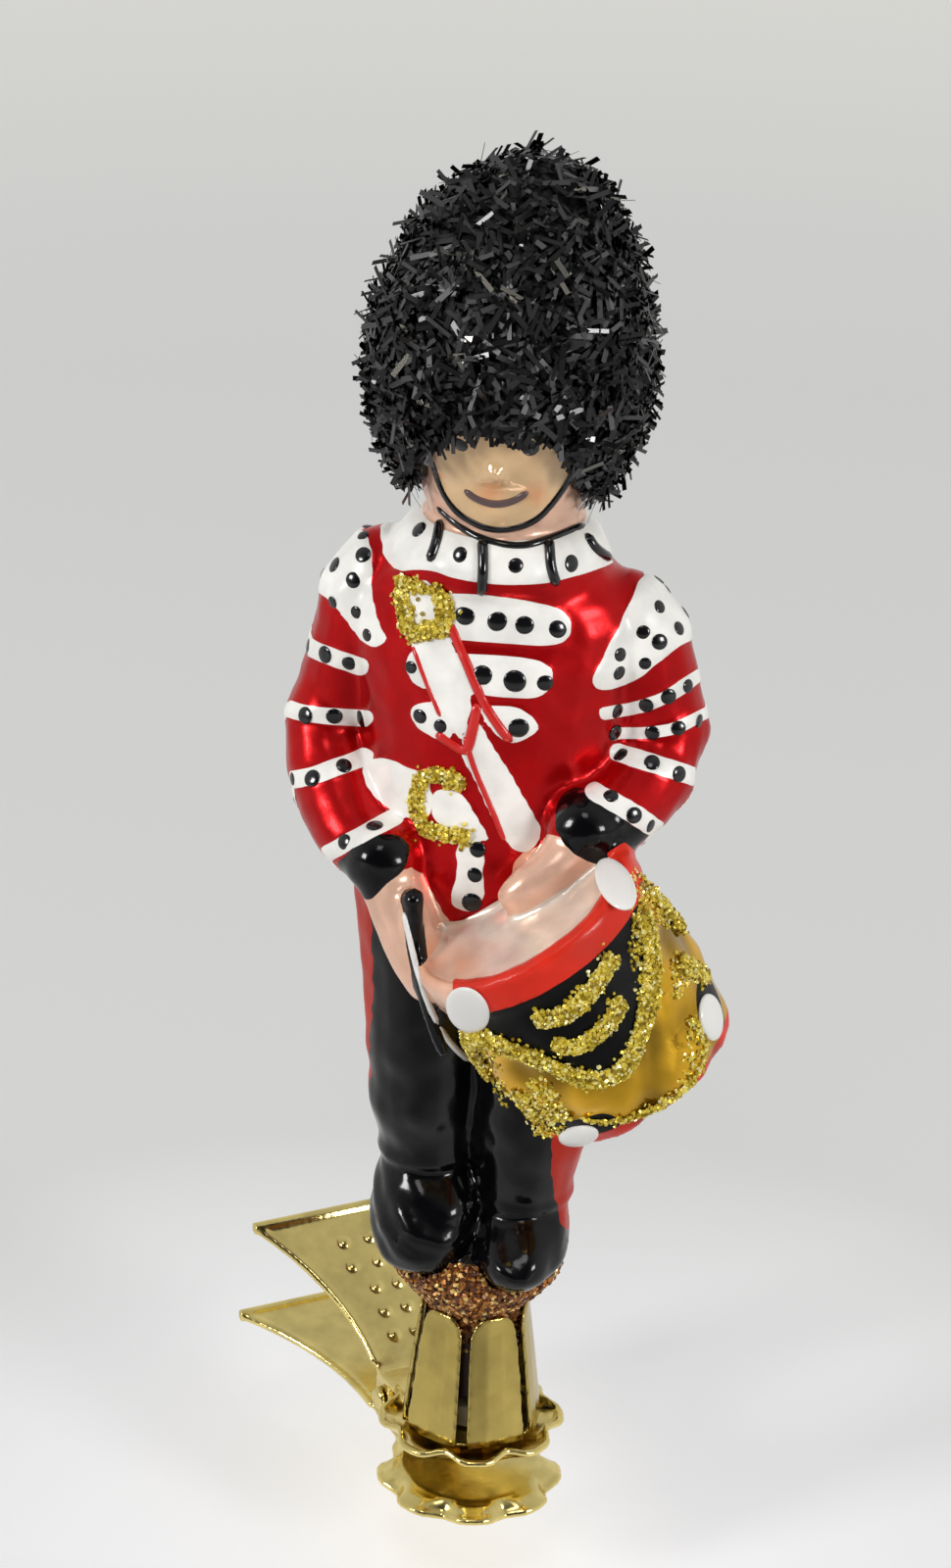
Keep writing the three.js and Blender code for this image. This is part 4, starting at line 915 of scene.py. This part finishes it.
def brushRuns(line):  # points of a stroke on the glass, parted where the glass falls away
    path = rounded(line, 3, False)
    steps = np.concatenate([[0], np.cumsum(np.linalg.norm(np.diff(path, axis=0), axis=1))])
    runs = [[]]
    for s in np.linspace(0, steps[-1], max(int(steps[-1] / brush["step"]), 4)):
        place, normal = hitAt(np.interp(s, steps, path[:, 0]), np.interp(s, steps, path[:, 1]))
        if place is None:
            continue
        if runs[-1] and (place - runs[-1][-1][0]).length > brush["jump"]:
            runs.append([])
        runs[-1].append((place, normal))
    return [hits for hits in runs if len(hits) > 2]


def edgesOf(ring):
    return list({e for v in ring for e in v.link_edges if all(w in ring for w in e.verts)})


def brushLine(bm, hits, half, rise):
    ring = None
    for k, (place, normal) in enumerate(hits):
        ahead = hits[min(k + 1, len(hits) - 1)][0] - hits[max(k - 1, 0)][0]
        if ahead.length < 1e-7:
            continue
        across = normal.cross(ahead).normalized()
        left = min((place - hits[j][0]).length for j in (0, -1)) / half
        taper = math.sqrt(max(1 - (1 - min(left + brush["blunt"], 1.0)) ** 2, 0.0))
        axes = (across * half * taper, normal * half * rise * 2 * taper, ahead.normalized() * half)
        now = Matrix.Translation(place) @ Matrix(axes).transposed().to_4x4()
        if ring is None:
            ring = bmesh.ops.create_circle(bm, cap_ends=True, segments=brush["sides"], radius=1.0)["verts"]
            bmesh.ops.transform(bm, matrix=now, verts=ring)
        else:
            grown = bmesh.ops.extrude_edge_only(bm, edges=edgesOf(ring))["geom"]
            ring = [g for g in grown if isinstance(g, bmesh.types.BMVert)]
            bmesh.ops.transform(bm, matrix=now @ last.inverted(), verts=ring)
        last = now
    if ring:
        bmesh.ops.contextual_create(bm, geom=edgesOf(ring))


def makeStrokes():
    mouth = dropMaterial("mouthBrown", tint(96, 76, 74), 0.35)
    edging = dropMaterial("beltEdging", tint(214, 30, 24), 0.3)
    looks = {"black": blackDrop, "mouth": mouth, "edging": edging, "stickWhite": whiteDrop}
    for name, lines in strokes.items():
        bm = bmesh.new()
        for line, width, rise in lines:
            for hits in brushRuns(line):
                brushLine(bm, hits, width / 2 / pixelsPerMm * mm, rise)
        bmesh.ops.recalc_face_normals(bm, faces=bm.faces)
        mesh = bakedMesh(bm, "enamel_line_" + name)
        setAttribute(mesh, "tone", np.full(len(mesh.vertices), brush["tone"]))
        newPiece("enamel_line_" + name, mesh, looks[name], figureBody)
    print("enamel lines drawn")


makeStrokes()

# bearskin of cut tinsel
tinsel = {  # in millimetres, heights above the soles, angles in degrees
    "seed": 5, "count": 5600, "crowd": (0.8, 0.15), "long": (1.9, 3.5), "wide": (0.36, 0.56), "thick": 0.035,
    "hatZ": 95.0, "hatY": 0.2, "hatRadius": 11.4, "up": 17.0, "down": 12.4, "taper": 1.6, "tuck": 0.36,
    "lean": 1.8, "standing": 0.3, "stood": (24, 52), "lying": (0, 20), "roll": 16.0, "loft": 1.1,
    "overlap": 0.18, "mat": 1.0, "matRough": 0.3, "matTop": 0.9, "matTuck": 0.6,
    "fringe": 70, "fringeTurn": (-50, 54), "fringeDrop": (-0.9, 0.9), "fringeTilt": 58, "fringeOut": 0.35,
    "fringeLoft": 0.5, "fringeTone": 0.9,
    "brim": [(-180, 82.0), (-75, 82.6), (-52, 84.2), (-36, 87.4), (-22, 89.6), (-6, 92.0), (20, 91.3),
             (38, 88.6), (55, 84.4), (75, 82.6), (180, 82.0)],  # turn and height of the lower edge
    "tones": [(0.0, (0.016, 0.016, 0.017, 1)), (0.5, (0.042, 0.042, 0.043, 1)), (0.96, (0.1, 0.1, 0.102, 1)),
              (1.0, (0.34, 0.32, 0.27, 1))],
    "gloss": [(0.0, (0.42, 0.42, 0.42, 1)), (0.96, (0.3, 0.3, 0.3, 1)), (1.0, (0.12, 0.12, 0.12, 1))],
}


def hatRadius(z):
    up, down = (z - tinsel["hatZ"]) / tinsel["up"], (tinsel["hatZ"] - z) / tinsel["down"]
    crown = np.sqrt(np.maximum(1 - np.maximum(up, 0) ** tinsel["taper"], 0.0))
    return tinsel["hatRadius"] * np.where(up > 0, crown, 1 - tinsel["tuck"] * np.maximum(down, 0) ** 3)


def hatMiddle(z):  # the crown leans to one side
    return tinsel["lean"] * np.maximum((z - tinsel["hatZ"]) / tinsel["up"], 0) ** 2


def brimHeight(x, y):  # high over the face, low at the sides and behind
    return np.interp(np.degrees(np.arctan2(x, -y)), *zip(*tinsel["brim"]))


def tinselMaterial():
    material, tree, shader = newMaterial("blackTinsel")
    tone = attributeOf(tree)
    setInputs(tree, shader, {
        "Base Color": rampOf(tree, tone, tinsel["tones"]), "Roughness": rampOf(tree, tone, tinsel["gloss"]),
        "Metallic": 1.0,
    })
    return material


def fringe(rng):  # strands that hang over the brow
    m = tinsel["fringe"]
    turn = np.radians(rng.uniform(*tinsel["fringeTurn"], m))
    flat = np.zeros(m)
    out = np.stack([np.sin(turn), -np.cos(turn), flat], axis=1)
    z = brimHeight(out[:, 0], out[:, 1]) + rng.uniform(*tinsel["fringeDrop"], m)
    tilt = np.radians(rng.uniform(-tinsel["fringeTilt"], tinsel["fringeTilt"], m))[:, None]
    level = np.stack([np.cos(turn), np.sin(turn), flat], axis=1)
    axis = level * np.sin(tilt) - np.array((0, 0, 1.0)) * np.cos(tilt)
    axis = unit(axis + out * rng.uniform(0.0, tinsel["fringeOut"], m)[:, None])
    side = unit(np.cross(out, axis))
    reach = hatRadius(z) + tinsel["mat"] + rng.uniform(0.0, tinsel["fringeLoft"], m)
    middle = np.stack([hatMiddle(z), np.full(m, tinsel["hatY"]), z], axis=1)
    sizes = [rng.uniform(*tinsel[k], m) for k in ("long", "wide")]
    return axis, side, np.cross(axis, side), out * reach[:, None] + middle, *sizes


def strewStrips(rng):  # strips strewn over the dome above the brim
    n = tinsel["count"]
    z = tinsel["hatZ"] - tinsel["down"] + (tinsel["down"] + tinsel["up"]) * rng.random(n * 2)
    power, least = tinsel["crowd"]
    keep = rng.random(n * 2) < (hatRadius(z) / tinsel["hatRadius"]) ** power + least
    z = z[keep][:n]
    turn = rng.random(len(z)) * 2 * math.pi
    r = hatRadius(z)
    step = 0.1
    fall = (hatRadius(z - step) - hatRadius(z + step)) / (2 * step)
    out = unit(np.stack([np.cos(turn), np.sin(turn), fall], axis=1))
    feet = np.stack([hatMiddle(z) + r * np.cos(turn), r * np.sin(turn) + tinsel["hatY"], z], axis=1)
    above = z > brimHeight(feet[:, 0], feet[:, 1])
    out, feet = out[above], feet[above]
    n = len(feet)
    ahead = framesAlong(out, rng.random(n) * wholeTurn)[:, :, 0]
    stands = rng.random(n) < tinsel["standing"]
    lean = np.where(stands, rng.uniform(*tinsel["stood"], n), rng.uniform(*tinsel["lying"], n))
    lean = np.radians(lean)[:, None]
    axis = ahead * np.cos(lean) + out * np.sin(lean)
    flat = out * np.cos(lean) - ahead * np.sin(lean)
    roll = np.radians(rng.normal(0, tinsel["roll"], n))[:, None]
    face = flat * np.cos(roll) + np.cross(flat, axis) * np.sin(roll)
    length, width = (rng.uniform(*tinsel[k], n) for k in ("long", "wide"))
    lift = tinsel["mat"] + rng.random(n) * tinsel["loft"]
    top = feet + out * lift[:, None] + axis * (length * tinsel["overlap"])[:, None]
    return axis, np.cross(face, axis), face, top, length, width


def mattedFoot():  # under the strips
    bm = bmesh.new()
    bmesh.ops.create_uvsphere(bm, u_segments=72, v_segments=48, radius=1.0)
    for v in bm.verts:
        x, y, up = v.co
        level = tinsel["hatZ"] + up * tinsel["up" if up > 0 else "down"]
        rough = tinsel["matRough"] * math.sin(x * 31 + up * 17) * math.sin(y * 29 - up * 23)
        wide = rough + (float(hatRadius(level)) + tinsel["mat"] if abs(up) < 0.999 else 0)
        out = v.co.xy.normalized() * wide if v.co.xy.length > 1e-6 else Vector((0, 0))
        middle = Vector((float(hatMiddle(level)), tinsel["hatY"]))
        x, y = out + middle
        z = max(level + tinsel["matTop"] * max(up, 0), float(brimHeight(x, y)) - tinsel["matTuck"])
        v.co = Vector((x, y, z + soleZ)) * mm
    mesh = bakedMesh(bm, "bearskin_mat")
    setAttribute(mesh, "tone", np.zeros(len(mesh.vertices)))
    return mesh


def makeTinsel():
    rng = np.random.default_rng(tinsel["seed"])
    strewn = strewStrips(rng)
    tones = rng.random(len(strewn[0]))
    axis, side, face, top, length, width = (np.concatenate(pair) for pair in zip(strewn, fringe(rng)))
    tones = np.concatenate([tones, rng.random(tinsel["fringe"]) * tinsel["fringeTone"]])
    frames = np.stack([axis * length[:, None], side * width[:, None], face * tinsel["thick"]], axis=2) * mm
    strip = templateOf(bmesh.ops.create_cube, size=1.0)
    mesh = sown("bearskin_strips", strip, frames, (top + (0, 0, soleZ)) * mm, tones)
    name = "bearskin_tinsel_strips"
    joined = bakedMesh(bmOf(mesh, mattedFoot()), name)
    piece = newPiece(name, joined, tinselMaterial(), figureBody, smooth=False)
    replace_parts(piece, "bearskin_tinsel")
    print("tinsel strips:", len(tones))


makeTinsel()

# glitter crusts
glitter = {  # in millimetres, above in metres
    "gold": {"grain": (0.14, 0.26), "perMm2": 15.0, "bed": 0.2, "press": 0.45, "strays": 0.2, "drift": 0.38,
             "above": 0.0, "seed": 20},
    "copper": {"grain": (0.22, 0.36), "perMm2": 7.5, "bed": 0.35, "press": 0.85, "strays": 0.0, "drift": 0.0,
               "above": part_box("petal_cup")[1].z - 0.0035, "seed": 40},
    "fade": 1.2, "strayRise": 0.06, "bedSink": 0.05, "tip": 0.5, "sunk": (-0.06, 0.14), "thick": (0.5, 1.1),
    "bedTone": 0.2, "bedRounds": 3, "looseSeed": 61, "tries": 3, "blur": 2.0,  # blur in pixels
}
goldNodes = [
    "cross_belt_buckle_glitter", "waist_buckle_glitter", "drum_chevron_upper", "drum_chevron_lower",
    "drum_swag", "drum_top_band", "drum_right_patch", "drum_outer_band", "drum_lower_patch",
]


def glitterMaterial(name, stops, rough):
    material, tree, shader = newMaterial(name)
    tone = attributeOf(tree)
    setInputs(tree, shader, {
        "Base Color": rampOf(tree, tone, stops), "Roughness": spread(tree, tone, rough * 1.5, rough),
        "Metallic": 0.35,
    })
    return material


def pressed(points, share):  # draws points towards the glass, with the glass's normals there
    near, normals = np.empty_like(points), np.empty_like(points)
    for k, point in enumerate(points):
        near[k], normals[k] = skin.find_nearest(Vector(point))[:2]
    return near + (points - near) * share, near, normals


def flakesOn(points, normals, kind, rng, name):  # six-sided flakes, each tipped a little off the glass
    n = len(points)
    tilt = normals + rng.normal(0, glitter["tip"], (n, 3))
    size = rng.uniform(*kind["grain"], n) * mm
    frames = framesAlong(tilt, rng.random(n) * wholeTurn) * size[:, None, None]
    frames[:, :, 2] *= rng.uniform(*glitter["thick"], n)[:, None]
    flake = templateOf(bmesh.ops.create_cone, cap_ends=True, segments=6, radius1=1.0, radius2=0.8, depth=1.0)
    sunk = rng.uniform(*glitter["sunk"], n) * mm
    return sown(name, flake, frames, points + normals * sunk[:, None], rng.random(n))


def crusted(node, material, kind, turn=0):
    name = node + "_flakes"
    rng = np.random.default_rng(kind["seed"] + turn)
    bed = voxelled(mergedCopy(node), name + "_bed", kind["bed"] * mm, glitter["bedRounds"])
    area = sum(p.area for p in bed.polygons) / mm ** 2
    points, normals = sprinkle(bed, int(area * kind["perMm2"]), rng)
    shown = points[:, 2] > kind["above"] + rng.normal(0, glitter["fade"] * mm, len(points))
    points, normals = points[shown], normals[shown]
    points, _, _ = pressed(points, kind["press"])
    stray = rng.choice(len(points), int(len(points) * kind["strays"]))
    loose = points[stray] + rng.normal(0, kind["drift"], (len(stray), 3)) * mm
    _, loose, looseNormals = pressed(loose, 0.0)
    points = np.concatenate([points, loose + looseNormals * glitter["strayRise"] * mm])
    normals = np.concatenate([normals, looseNormals])
    flakes = flakesOn(points, normals, kind, rng, name + "_flakes")
    bedPoints, _, glassNormals = pressed(vectorsOf(bed), kind["press"])
    setCoords(bed, bedPoints - glassNormals * glitter["bedSink"] * mm)
    setAttribute(bed, "tone", np.where(vectorsOf(bed)[:, 2] > kind["above"], glitter["bedTone"], 0.0))
    piece = newPiece(name, bakedMesh(bmOf(flakes, bed), name), material, figureBody, smooth=False)
    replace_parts(piece, node)
    return len(points)


looseAreas = [  # outline in the picture, grains
    ([(535, 1102), (554, 1098), (572, 1122), (577, 1150), (566, 1163), (548, 1160), (538, 1136)], 330),
    ([(484, 1052), (498, 1060), (512, 1092), (520, 1128), (512, 1130), (498, 1100), (486, 1072)], 90),
    ([(636, 896), (652, 884), (672, 908), (700, 940), (706, 956), (694, 956), (668, 936), (650, 960),
      (640, 930)], 260),
    ([(640, 950), (662, 946), (672, 980), (668, 1020), (652, 1030), (646, 990)], 160),
    ([(684, 978), (712, 980), (730, 996), (722, 1008), (700, 1004), (690, 1024), (684, 1004)], 150),
    ([(700, 1030), (712, 1050), (716, 1080), (704, 1106), (690, 1124), (684, 1116), (698, 1090),
      (702, 1062)], 110),
]


def looseGrains():
    rng = np.random.default_rng(glitter["looseSeed"])
    struck = []
    for outline, count in looseAreas:
        o = np.array(outline, float)
        x, y = (rng.uniform(o[:, k].min(), o[:, k].max(), count * glitter["tries"]) for k in (0, 1))
        inside = insideOutline(x, y, rounded(o)) > rng.normal(0, glitter["blur"], len(x))
        hits = [hitAt(*spot) for spot in np.stack([x, y], axis=1)[inside][:count]]
        struck += [hit for hit in hits if hit[0] is not None]
    points, normals = (np.array([list(h[k]) for h in struck]) for k in (0, 1))
    mesh = flakesOn(points, normals, glitter["gold"], rng, "drum_loose_flakes")
    newPiece("drum_loose_flakes", mesh, gold, figureBody, smooth=False)
    return len(points)


gold = glitterMaterial("goldGlitter", [
    (0.0, tint(126, 100, 14)), (0.3, tint(206, 180, 46)), (0.75, tint(244, 224, 94)),
    (1.0, tint(255, 250, 190)),
], 0.24)
copper = glitterMaterial("copperGlitter", [
    (0.0, tint(44, 20, 6)), (0.45, tint(122, 68, 26)), (0.8, tint(196, 128, 54)), (1.0, tint(255, 226, 146)),
], 0.26)
total = 0
for k, node in enumerate(goldNodes):
    total += crusted(node, gold, glitter["gold"], k)
total += crusted("ground_glitter", copper, glitter["copper"])
total += looseGrains()
print("glitter flakes:", total)

# clip of stamped brass
brass = {  # body, metal, voxel in millimetres, rounds of smoothing
    "upper_lever": (figureBody, "clipBrass", 0.19, 5), "lower_lever": (lowerBody, "clipBrass", 0.19, 5),
    "petal_cup": (figureBody, "shadedCupBrass", 0.19, 5), "hinge_pin": (figureBody, "clipBrass", 0.12, 4),
    "cup_rivet": (figureBody, "clipBrass", 0.12, 4),
}
wire = {"voxel": 0.12, "rounds": 4, "end": 0.8}  # in millimetres


def metalMaterial(name, colour, low, high):
    material, tree, shader = newMaterial(name)
    patina = noiseOf(tree, 320.0, detail=5.0)
    scuff = noiseOf(tree, 1400.0, detail=6.0)
    setInputs(tree, shader, {
        "Base Color": rampOf(tree, patina, [(0.35, darker(colour, 0.78)), (0.65, colour)]),
        "Roughness": spread(tree, scuff, low, high, fromLow=0.3, fromHigh=0.7), "Metallic": 1.0,
        "Normal": bumpOf(tree, scuff, strength=0.05, distance=0.0002),
    })
    return material


def adhesiveMaterial():
    material, tree, shader = newMaterial("setGlue")
    lumps = noiseOf(tree, 700.0)
    setInputs(tree, shader, {
        "Base Color": rampOf(tree, lumps, [(0.3, tint(196, 186, 150)), (0.7, tint(226, 218, 190))]),
        "Normal": bumpOf(tree, lumps, strength=0.3, distance=0.0003), "Roughness": 0.4,
    })
    return material


metals = {
    "clipBrass": metalMaterial("clipBrass", tint(238, 217, 138), 0.12, 0.24),
    # the cup's brass is the clip's brass made darker: painted shade
    "shadedCupBrass": metalMaterial("shadedCupBrass", tint(196, 174, 98), 0.12, 0.24),
    "springSteel": metalMaterial("springSteel", tint(190, 188, 182), 0.2, 0.34),
}
for node, (body, look, voxel, rounds) in brass.items():
    mesh = voxelled(mergedCopy(node), node + "_brass", voxel * mm, rounds)
    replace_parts(newPiece(node + "_brass", mesh, metals[look], body), node)
bed = frame["nodes"]["adhesive_bed"]
bed.data.materials.clear()
bed.data.materials.append(adhesiveMaterial())
spring = voxelled(mergedCopy("torsion_spring"), "torsion_spring_wire", wire["voxel"] * mm, wire["rounds"])
springPiece = newPiece("torsion_spring_wire", spring, metals["springSteel"], None)
hinge = frame["record"]["behaviour"]["joints"][0]
hingePlace, hingeAxis = Vector(hinge["pos_m"]), Vector(hinge["axis"]).normalized()
along = [(v.co - hingePlace).dot(hingeAxis) for v in spring.vertices]
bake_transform(springPiece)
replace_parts(springPiece, "torsion_spring")
print("clip built")

# floor and light
studio = {  # in metres, lamps in watts
    "floorZ": -0.017, "floorSize": 6.0, "floorReach": (0.0, 1.0), "glowFront": (-0.16, -0.01),
    "frontDark": (0.05, 0.05, 0.055, 1), "roundabout": (0.76, 0.76, 0.75, 1), "frontReach": (-0.8, -0.12),
    "zenith": (1.0, 0.7, 0.1, 0.9), "shadeAt": (0.0, -0.12, -0.017), "shadeSize": (0.2, 0.1, 1.0),
    "shadeEdge": (0.1, 1.15), "shadeTone": tint(150, 150, 151),
    # lightest close round the clip's foot, as a painted pool of light, and greyer further out
    "floorTones": [(0.0, tint(238, 238, 241)), (0.025, tint(230, 230, 232)), (0.1, tint(190, 190, 189)),
                   (0.5, tint(191, 191, 190)), (1.0, tint(200, 199, 195))],
    "floorGlow": [(0.03, (0.34, 0.34, 0.343, 1)), (0.09, (0.42, 0.42, 0.42, 1)),
                  (0.4, (0.42, 0.42, 0.42, 1)), (0.7, (0.56, 0.56, 0.54, 1))],
    "lamps": {  # place, size, power
        "leftSoftbox": ((-0.9, -0.756, 0.49), 0.29, 7.4), "rightSoftbox": ((0.99, -0.648, 0.42), 0.29, 6.1),
        "topSoftbox": ((0.0, -0.72, 1.07), 0.36, 1.6),
    },
    "lampsAim": (0, 0, 0.06),
}


def floorMaterial():
    material, tree, shader = newMaterial("paleFloor")
    place = placeOf(tree)
    depth = spread(tree, lengthOf(tree, place), 0.0, 1.0, *studio["floorReach"])
    shift = vectorOf(tree, "SUBTRACT", place, studio["shadeAt"])
    rim = lengthOf(tree, vectorOf(tree, "DIVIDE", shift, studio["shadeSize"]))
    patch = spread(tree, rim, 0.0, 1.0, *studio["shadeEdge"])  # a painted shadow: a soft dark patch before the clip
    tone = mixed(tree, patch, studio["shadeTone"], rampOf(tree, depth, studio["floorTones"]))
    rays = addNode(tree, "LightPath", {})
    seen = mathOf(tree, "MAXIMUM", rays["Is Camera Ray"], rays["Is Glossy Ray"])
    back = spread(tree, axisOf(tree, place, "Y"), 0.0, 1.0, *studio["glowFront"])  # the front has lamps
    setInputs(tree, shader, {
        "Base Color": tone, "Roughness": 0.6,
        "Emission Color": mixed(tree, 1.0, rampOf(tree, depth, studio["floorGlow"]), tone, "MULTIPLY"),
        "Emission Strength": mathOf(tree, "MULTIPLY", seen, back),
    })
    return material


def makeFloor():
    bm = bmesh.new()
    bmesh.ops.create_grid(bm, x_segments=2, y_segments=2, size=studio["floorSize"])
    bmesh.ops.translate(bm, verts=bm.verts, vec=(0, 0, studio["floorZ"]))
    mesh = bakedMesh(bm, "studio_floor")
    mesh.materials.append(floorMaterial())
    floor = bpy.data.objects.new("studio_floor", mesh)
    scene.collection.objects.link(floor)


def makeWorld():
    scene.world = bpy.data.worlds.new("studioWorld")
    scene.world.use_nodes = True
    tree = scene.world.node_tree
    place = placeOf(tree, "Generated")
    front = spread(tree, axisOf(tree, place, "Y"), 0.0, 1.0, *studio["frontReach"])
    glow = rampOf(tree, front, [(0.0, studio["frontDark"]), (1.0, studio["roundabout"])])
    overhead = spread(tree, axisOf(tree, place, "Z"), *studio["zenith"])
    shaded = mixed(tree, 1.0, glow, overhead, "MULTIPLY")
    setInputs(tree, tree.nodes["Background"], {"Color": shaded, "Strength": 1.0})


def addLamp(name, place, size, power):
    lamp = bpy.data.lights.new(name, "AREA")
    lamp.energy = power
    lamp.size = size
    holder = bpy.data.objects.new(name, lamp)
    holder.location = place
    aim = Vector(studio["lampsAim"]) - Vector(place)
    holder.rotation_euler = aim.to_track_quat("-Z", "Y").to_euler()
    scene.collection.objects.link(holder)


makeFloor()
makeWorld()
for name, values in studio["lamps"].items():
    addLamp(name, *values)
print("studio set")
